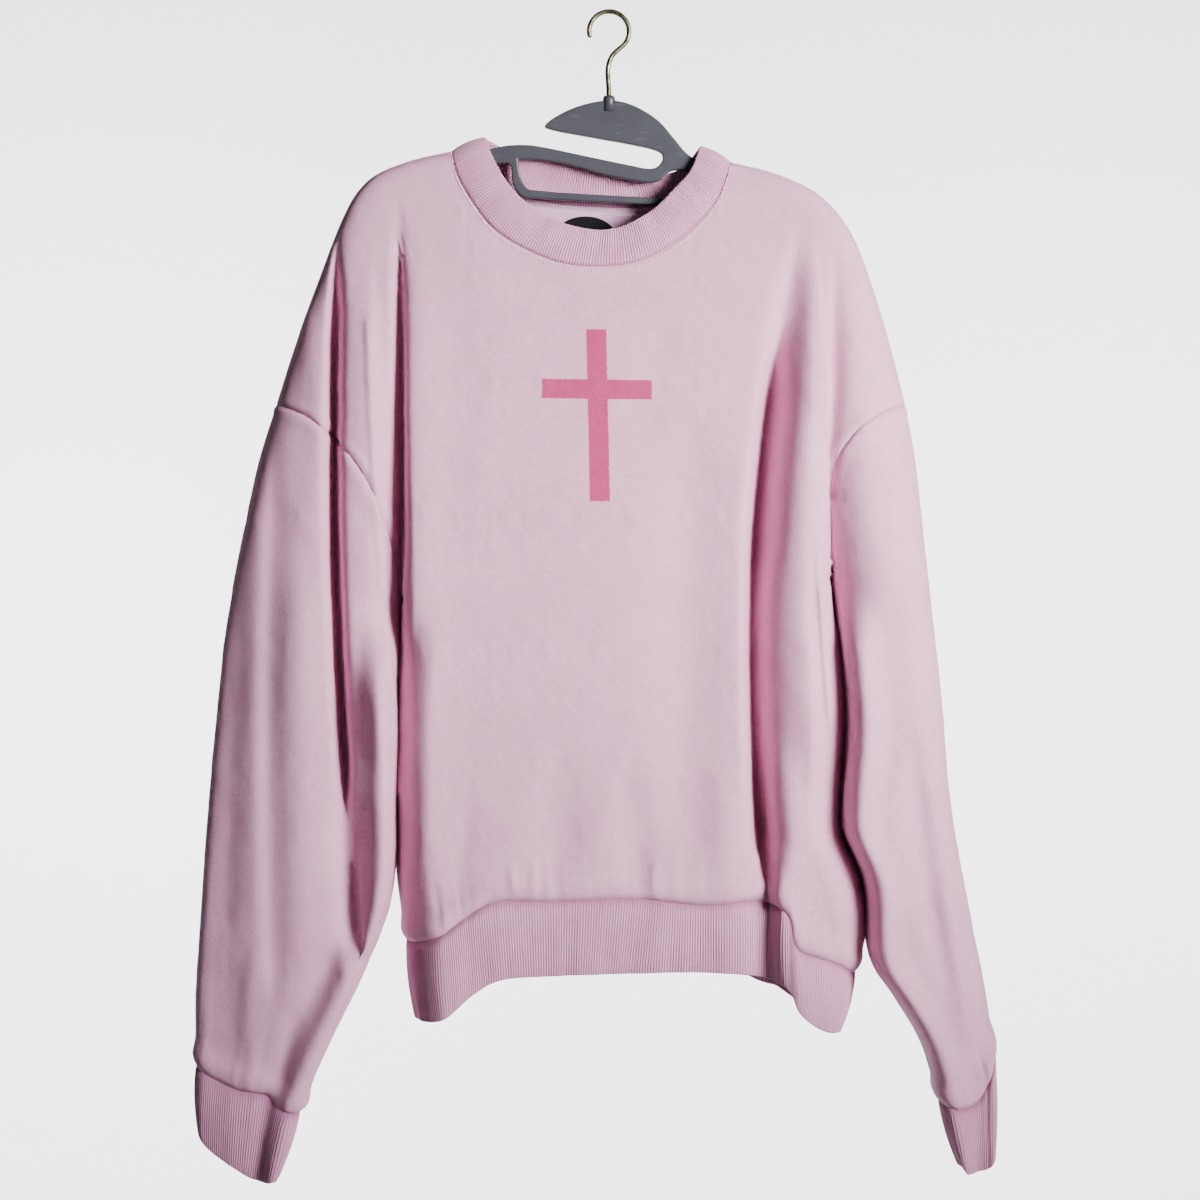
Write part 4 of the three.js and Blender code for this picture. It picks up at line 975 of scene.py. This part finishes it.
def rib_knit():
    """Rib knit: painted shade darkens the grooves using the rib height, noise adds random tone, and rows of
    stitches run down each rib.
    """
    finish = Finish("rib_knit")
    ridge = finish.node("Attribute", attribute_name="ridge", output=2)
    down = finish.axis(finish.node("UVMap", uv_map="cloth"), 1)
    here = finish.here()
    speckle = finish.noise(here, 900.0, 4.0, 0.7)
    cloudy = finish.noise(here, 45.0)
    stitch = (down * (2 * math.pi / RIB_STITCH)).math("SINE")
    # Painted shade: the colour goes darker where the rib height is low, in the grooves; the noise adds random
    # tone
    share = ((1.0 - ridge) * 0.95 + (cloudy - 0.5) * 0.5 + (speckle - 0.5) * 0.5).clamped()
    bump = finish.bump(stitch * 0.4 + speckle * 1.4, 0.0002, 0.5)
    return finish.done(Base_Color=finish.blend(share, RIB, RIB_GROOVE_SHADE_AND_TONE), Normal=bump, Roughness=0.92,
                       Sheen_Weight=0.08, Sheen_Roughness=0.55, Specular_IOR_Level=0.22)


def sewing_thread():
    finish = Finish("sewing_thread")
    twist = finish.noise(finish.here(), 2500.0, 2.0)
    return finish.done(Base_Color=finish.blend(twist, THREAD, THREAD_DEEP), Roughness=0.6,
                       Normal=finish.bump(twist, 0.0001), Specular_IOR_Level=0.35)


def hanger_plastic():
    finish = Finish("hanger_plastic")
    here = finish.here()
    cloud = finish.noise(here, 30.0, 4.0)
    scuff = finish.ramp(finish.streaks(here, (60, 400, 500), 4.0), 0.6, 0.72)
    colour = finish.blend(cloud, PLASTIC, PLASTIC_LIGHT)
    colour = finish.blend(scuff * 0.25, colour, PLASTIC_SCUFF)
    grain = finish.bump(finish.noise(here, 1400.0), 0.00008, 0.4)
    return finish.done(Base_Color=colour, Roughness=cloud * 0.12 + scuff * 0.15 + 0.3, Normal=grain,
                       Specular_IOR_Level=0.5)


def hook_wire():
    finish = Finish("hook_wire")
    here = finish.here()
    tarnish = finish.noise(here, 140.0, 5.0, 0.65)
    drawn = finish.streaks(here, (2600, 2600, 60), 2.0)
    colour = finish.blend(finish.ramp(tarnish, 0.4, 0.62), WIRE, WIRE_TARNISH)
    return finish.done(Base_Color=colour, Metallic=1.0, Roughness=tarnish * 0.25 + drawn * 0.1 + 0.2,
                       Normal=finish.bump(drawn, 0.00005, 0.5))


def stitch_tree(material):
    """Stitches along every line of a mesh: Pitch, Length and Thickness are its named sizes."""
    tree = bpy.data.node_groups.new("stitches", "GeometryNodeTree")
    face = tree.interface
    face.new_socket("Geometry", in_out="INPUT", socket_type="NodeSocketGeometry")
    for label in ("Pitch", "Length", "Thickness"):
        face.new_socket(label, in_out="INPUT", socket_type="NodeSocketFloat")
    face.new_socket("Geometry", in_out="OUTPUT", socket_type="NodeSocketGeometry")
    new, link = tree.nodes.new, tree.links.new
    start, end = new("NodeGroupInput"), new("NodeGroupOutput")
    to_curve = new("GeometryNodeMeshToCurve")
    points = new("GeometryNodeCurveToPoints")
    points.mode = "LENGTH"
    ball = new("GeometryNodeMeshIcoSphere")
    ball.inputs["Radius"].default_value = 0.5
    ball.inputs["Subdivisions"].default_value = 2
    size = new("ShaderNodeCombineXYZ")
    shape = new("GeometryNodeTransform")
    place = new("GeometryNodeInstanceOnPoints")
    real = new("GeometryNodeRealizeInstances")
    paint = new("GeometryNodeSetMaterial")
    paint.inputs["Material"].default_value = material
    link(start.outputs["Geometry"], to_curve.inputs["Mesh"])
    link(to_curve.outputs["Curve"], points.inputs["Curve"])
    link(start.outputs["Pitch"], points.inputs["Length"])
    link(start.outputs["Thickness"], size.inputs["X"])
    link(start.outputs["Thickness"], size.inputs["Y"])
    link(start.outputs["Length"], size.inputs["Z"])
    link(ball.outputs["Mesh"], shape.inputs["Geometry"])
    link(size.outputs["Vector"], shape.inputs["Scale"])
    link(points.outputs["Points"], place.inputs["Points"])
    link(shape.outputs["Geometry"], place.inputs["Instance"])
    link(points.outputs["Rotation"], place.inputs["Rotation"])
    link(place.outputs["Instances"], real.inputs["Geometry"])
    link(real.outputs["Geometry"], paint.inputs["Geometry"])
    link(paint.outputs["Geometry"], end.inputs["Geometry"])
    return tree


def stitch_object(name, paths, tree):
    """Rows of stitches along lines of places in millimetres."""
    vertices, edges = [], []
    for path in paths:
        start = len(vertices)
        vertices.extend((np.asarray(path) * MM).tolist())
        edges.extend((start + i, start + i + 1) for i in range(len(path) - 1))
    mesh = bpy.data.meshes.new(name)
    mesh.from_pydata(vertices, edges, [])
    obj = placed(name, mesh)
    modifier = obj.modifiers.new("stitches", "NODES")
    modifier.node_group = tree
    sizes = {"Pitch": STITCH_PITCH, "Length": STITCH_LENGTH, "Thickness": STITCH_THICKNESS}
    for entry in tree.interface.items_tree:
        if entry.in_out == "INPUT" and entry.name in sizes:
            modifier[entry.identifier] = sizes[entry.name] * MM
    made = plain_mesh(obj)
    obj.modifiers.clear()
    obj.data = made
    made.shade_smooth()
    return obj


def offset_line(outer, normals, columns, distance, lift):
    """A line at a distance below a panel's top edge, just above its surface."""
    path = []
    for i in columns:
        run = lengths(outer[i])
        place = [np.interp(distance, run, outer[i][:, k]) for k in range(3)]
        path.append(np.array(place) + normals[i][1] * lift)
    return np.array(path)


def arm_edge(points, shares, offset, neck_at):
    """The hanger's arm lies just under the shoulder cloth."""
    run = lengths(points)
    tangents = unit(np.gradient(points, run, axis=0))
    out = []
    for share in shares:
        lowered = offset + NECK_CLEARANCE * smooth(1 - abs(share - neck_at) / 0.25)
        x, z = (np.interp(share * run[-1], run, points[:, k]) for k in range(2))
        tx, tz = (np.interp(share * run[-1], run, tangents[:, k]) for k in range(2))
        out.append((x + tz * lowered, z - tx * lowered))
    return out


def curve_mesh(shape):
    """The mesh of a curve, whose own object isn't kept."""
    holder = placed(shape.name, shape)
    mesh = plain_mesh(holder)
    bpy.data.objects.remove(holder)
    return mesh


def hanger_object():
    """The hanger's plate, with rounded edges, its slot and its window."""
    left = np.linspace(0.68, 1, 15)
    right = 1 - left[::-1]
    top_left = arm_edge(shoulder_left, left, ARM_CLEARANCE, 1)
    under_left = arm_edge(shoulder_left, left[2:-1], ARM_CLEARANCE + ARM_HEIGHT, 1)
    top_right = arm_edge(shoulder_right, right, ARM_CLEARANCE, 0)
    under_right = arm_edge(shoulder_right, right[1:-2], ARM_CLEARANCE + ARM_HEIGHT, 0)
    outline = (top_left + SLOT_LOWER_EDGE + SLOT_END + HEAD_EDGE + top_right
               + under_right[::-1] + UNDERSIDE_RIGHT + under_left[::-1])
    shape = bpy.data.curves.new("hanger_plate", "CURVE")
    shape.dimensions = "2D"
    shape.fill_mode = "BOTH"
    shape.extrude = (HANGER_THICKNESS / 2 - HANGER_BEVEL) * MM
    shape.bevel_depth = HANGER_BEVEL * MM
    shape.bevel_resolution = 3
    shape.offset = -HANGER_BEVEL * MM
    for rows in (outline, WINDOW):
        ring = curve(rows + rows[:1], 4)[:-1]
        spline = shape.splines.new("POLY")
        spline.points.add(len(ring) - 1)
        for point, (x, z) in zip(spline.points, ring):
            point.co = (x * MM, z * MM, 0, 1)
        spline.use_cyclic_u = True
    mesh = curve_mesh(shape)
    lying = np.zeros(len(mesh.vertices) * 3)
    mesh.vertices.foreach_get("co", lying)
    x, up, thick = lying.reshape(-1, 3).T
    mesh.vertices.foreach_set("co", np.stack([x, -thick, up], axis=1).reshape(-1))
    mesh.update()
    return placed("hanger_body", mesh)


def boss_object(sides=40):
    """The round boss that holds the wire: a profile turned about the hook's stem."""
    profile = [(2.4, -78), (5, -78), (5, -68), (4.4, -66.2), (3.4, -65.5), (2.4, -65.6)]
    angles = np.arange(sides) * 2 * np.pi / sides
    points = np.array([[(r * math.cos(a), r * math.sin(a), z) for r, z in profile] for a in angles])
    down = np.append(lengths(np.array(profile, float)), 0)
    around = np.arange(sides + 1.0)
    return shell_object("hanger_boss", points, True, down, around, np.zeros(len(profile), int))


def hook_object():
    """The wire of the hook, round, with a rounded tip."""
    angles = np.linspace(-0.62, 3.45, 12)
    bowl = [(BOWL_RADIUS * math.cos(a), WIRE_RADIUS - BOWL_RADIUS + BOWL_RADIUS * math.sin(a))
            for a in angles]
    path = curve([(0, -75.7), (-0.3, -60), (-0.8, -43), (2.5, -33.5)] + bowl, 8)
    shape = bpy.data.curves.new("hook_line", "CURVE")
    shape.dimensions = "3D"
    shape.bevel_depth = WIRE_RADIUS * MM
    shape.bevel_resolution = 6
    shape.use_fill_caps = True
    spline = shape.splines.new("POLY")
    spline.points.add(len(path) - 1)
    for i, (point, (x, z)) in enumerate(zip(spline.points, path)):
        point.co = (x * MM, 0, z * MM, 1)
        point.radius = (0.55, 0.85, 1)[min(len(path) - 1 - i, 2)]
    mesh = curve_mesh(shape)
    mesh.shade_smooth()
    return placed("hook_steel", mesh)


def finish_piece(obj, node, slot, *materials):
    """Gives a piece its materials and its body, and hides the solid it stands for; its slot is not used."""
    for material in materials:
        obj.data.materials.append(material)
    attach(obj, "root")
    if node:
        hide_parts(node)


outside, front_cloth, inside = fleece_outside(), fleece_front(), fleece_inside()
rib, thread = rib_knit(), sewing_thread()
plastic, steel = hanger_plastic(), hook_wire()
normals = panel_normals()
surfaces, cloth = {}, {}
for name, grid in panels.items():
    cloth[name], surfaces[name] = panel_object(name, grid, normals[name])
    finish_piece(cloth[name], name, "fleece", front_cloth if name == "front" else outside, inside)


def seam_ring(top_row):
    """Places, directions and free edge of the ring where a band is sewn on."""
    row = 0 if top_row else -1
    cut = slice(SHOULDER_COLUMNS, -SHOULDER_COLUMNS) if top_row else slice(None)
    tables = (NECK_FRONT, NECK_BACK) if top_row else (HEM_FRONT, HEM_BACK)
    lines = [surfaces[name][cut, row] for name in ("front", "back")]
    facing = [normals[name][cut, row] for name in ("front", "back")]
    edges = [edge_line(table, line) for table, line in zip(tables, lines)]
    return joined(*lines), joined(*facing), joined(*edges)


def cuff_ring(name):
    """Places, directions and free edge of the ring where a cuff is sewn on."""
    ring, facing = surfaces["sleeve_" + name][:, -1], normals["sleeve_" + name][:, -1]
    tables = SLEEVES[name][3:]
    lines = (ring[:ARMHOLE_STEPS + 1], np.concatenate([ring[:1], ring[ARMHOLE_STEPS:][::-1]]))
    edges = [edge_line(table, line) for table, line in zip(tables, lines)]
    return ring, facing, joined(*edges)


bands = {
    "collar": band_object("collar", *seam_ring(True), rows=10, bow=1.6, samples=6, seed=3),
    "hem_rib": band_object("hem_rib", *seam_ring(False), rows=8, bow=2.0, seed=4),
    "cuff_left": band_object("cuff_left", *cuff_ring("left"), rows=8, bow=1.6, seed=5),
    "cuff_right": band_object("cuff_right", *cuff_ring("right"), rows=8, bow=1.6, seed=6),
}
for name, obj in bands.items():
    finish_piece(obj, name, "rib_knit", rib)

stitches = stitch_tree(thread)
neck_columns = range(SHOULDER_COLUMNS, SHOULDER_COLUMNS + NECK_COLUMNS + 1)
neck_stitches = stitch_object("neck_stitches", [
    offset_line(surfaces[side], normals[side], neck_columns, COVERSTITCH_LINE, 0.3)
    for side in ("front", "back")
], stitches)
finish_piece(neck_stitches, None, "fleece")
inner_stitches = stitch_object("back_neck_stitches", [
    offset_line(surfaces["back"], normals["back"], neck_columns, distance, -CLOTH - 0.1)
    for distance in INNER_STITCH_LINES
], stitches)
finish_piece(inner_stitches, None, "fleece")

hanger = hanger_object()
finish_piece(hanger, "hanger", "hanger_plastic", plastic)
boss = boss_object()
finish_piece(boss, None, "hanger_plastic", plastic)
hook = hook_object()
finish_piece(hook, "hook", "hook_wire", steel)

# Cut size and area of each piece of cloth in metres, and what it hangs on
HUNG = {
    "front": ((0.62, 0.62), 0.284, ["hanger_body", "back_cloth"]),
    "back": ((0.62, 0.62), 0.279, ["hanger_body", "front_cloth"]),
    "sleeve_left": ((0.37, 0.6), 0.186, ["front_cloth", "back_cloth"]),
    "sleeve_right": ((0.33, 0.6), 0.15, ["front_cloth", "back_cloth"]),
    "collar": ((0.645, 0.029), 0.0187, ["front_cloth", "back_cloth"]),
    "hem_rib": ((1.12, 0.062), 0.0693, ["front_cloth", "back_cloth"]),
    "cuff_left": ((0.276, 0.058), 0.016, ["sleeve_left_cloth"]),
    "cuff_right": ((0.29, 0.058), 0.0168, ["sleeve_right_cloth"]),
}
for name, (flat, area, rests) in HUNG.items():
    obj = cloth.get(name) or bands[name]


# The stage, in metres: floor and wall, two lamps for the wall, and the camera's place
FLOOR = -1.9
WALL = 2.9
WALL_TOP = 3.0
BEND = 0.4
STAGE_HALF_WIDTH = 4
STAGE_FRONT = -3.4
VIEW_CENTRE = (-0.0072, -0.4688)
VIEW_DISTANCE = 2.2
VIEW_WIDTH = 0.96


def stage_paper():
    finish = Finish("backdrop_paper")
    colour = finish.blend(finish.noise(finish.here(), 1.5, 2.0), PAPER, PAPER_DEEP)
    return finish.done(Base_Color=colour, Roughness=0.9)


def backdrop():
    """A pale floor that curves up into a pale wall."""
    profile = [(STAGE_FRONT, FLOOR), (WALL - BEND, FLOOR)]
    profile += [(WALL - BEND + BEND * math.sin(a), FLOOR + BEND - BEND * math.cos(a))
                for a in np.linspace(0.1, 1.57, 10)]
    profile += [(WALL, WALL_TOP)]
    vertices = [(x, y, z) for y, z in profile for x in (-STAGE_HALF_WIDTH, STAGE_HALF_WIDTH)]
    faces = [(2 * i, 2 * i + 1, 2 * i + 3, 2 * i + 2) for i in range(len(profile) - 1)]
    mesh = bpy.data.meshes.new("backdrop")
    mesh.from_pydata(vertices, [], faces)
    mesh.shade_smooth()
    mesh.materials.append(stage_paper())
    placed("backdrop", mesh)


def area_light(name, place, aim, power, size, spread=math.pi):
    light = bpy.data.lights.new(name, "AREA")
    light.shape = "RECTANGLE"
    light.size, light.size_y = size
    light.energy = power
    light.spread = spread
    obj = placed(name, light)
    away = np.array(place, float) - np.array(aim, float)
    tilt = math.atan2(math.hypot(away[0], away[1]), away[2])
    obj.location = place
    obj.rotation_euler = (tilt, 0, math.atan2(away[0], -away[1]))


def lights():
    """A soft key from the right, a weak fill, and a lamp on each side of the wall."""
    area_light("key", (1.45, -1.55, -0.05), (0.07, 0, -0.36), 11.5, (0.8, 0.8), 0.74)
    area_light("fill", (-0.6, -2.2, 0.2), (0, 0, -0.5), 0.7, (1.0, 1.0))
    for name, side in (("wall_left", -1), ("wall_right", 1)):
        area_light(name, (1.2 * side, 0.9, -0.3), (1.1 * side, WALL, -0.5), 150, (0.6, 1.6))
    world = bpy.data.worlds.new("studio")
    world.use_nodes = True
    ground = world.node_tree.nodes["Background"]
    ground.inputs["Color"].default_value = (1, 1, 1, 1)
    ground.inputs["Strength"].default_value = 0.03
    bpy.context.scene.world = world


def camera():
    """The photo's view: straight from the front, level with the middle of the garment."""
    lens = bpy.data.cameras.new("camera")
    lens.sensor_fit = "HORIZONTAL"
    lens.angle = 2 * math.atan(VIEW_WIDTH / 2 / VIEW_DISTANCE)
    obj = placed("camera", lens)
    obj.location = (VIEW_CENTRE[0], -VIEW_DISTANCE, VIEW_CENTRE[1])
    obj.rotation_euler = (math.pi / 2, 0, 0)
    bpy.context.scene.camera = obj


backdrop()
lights()
camera()
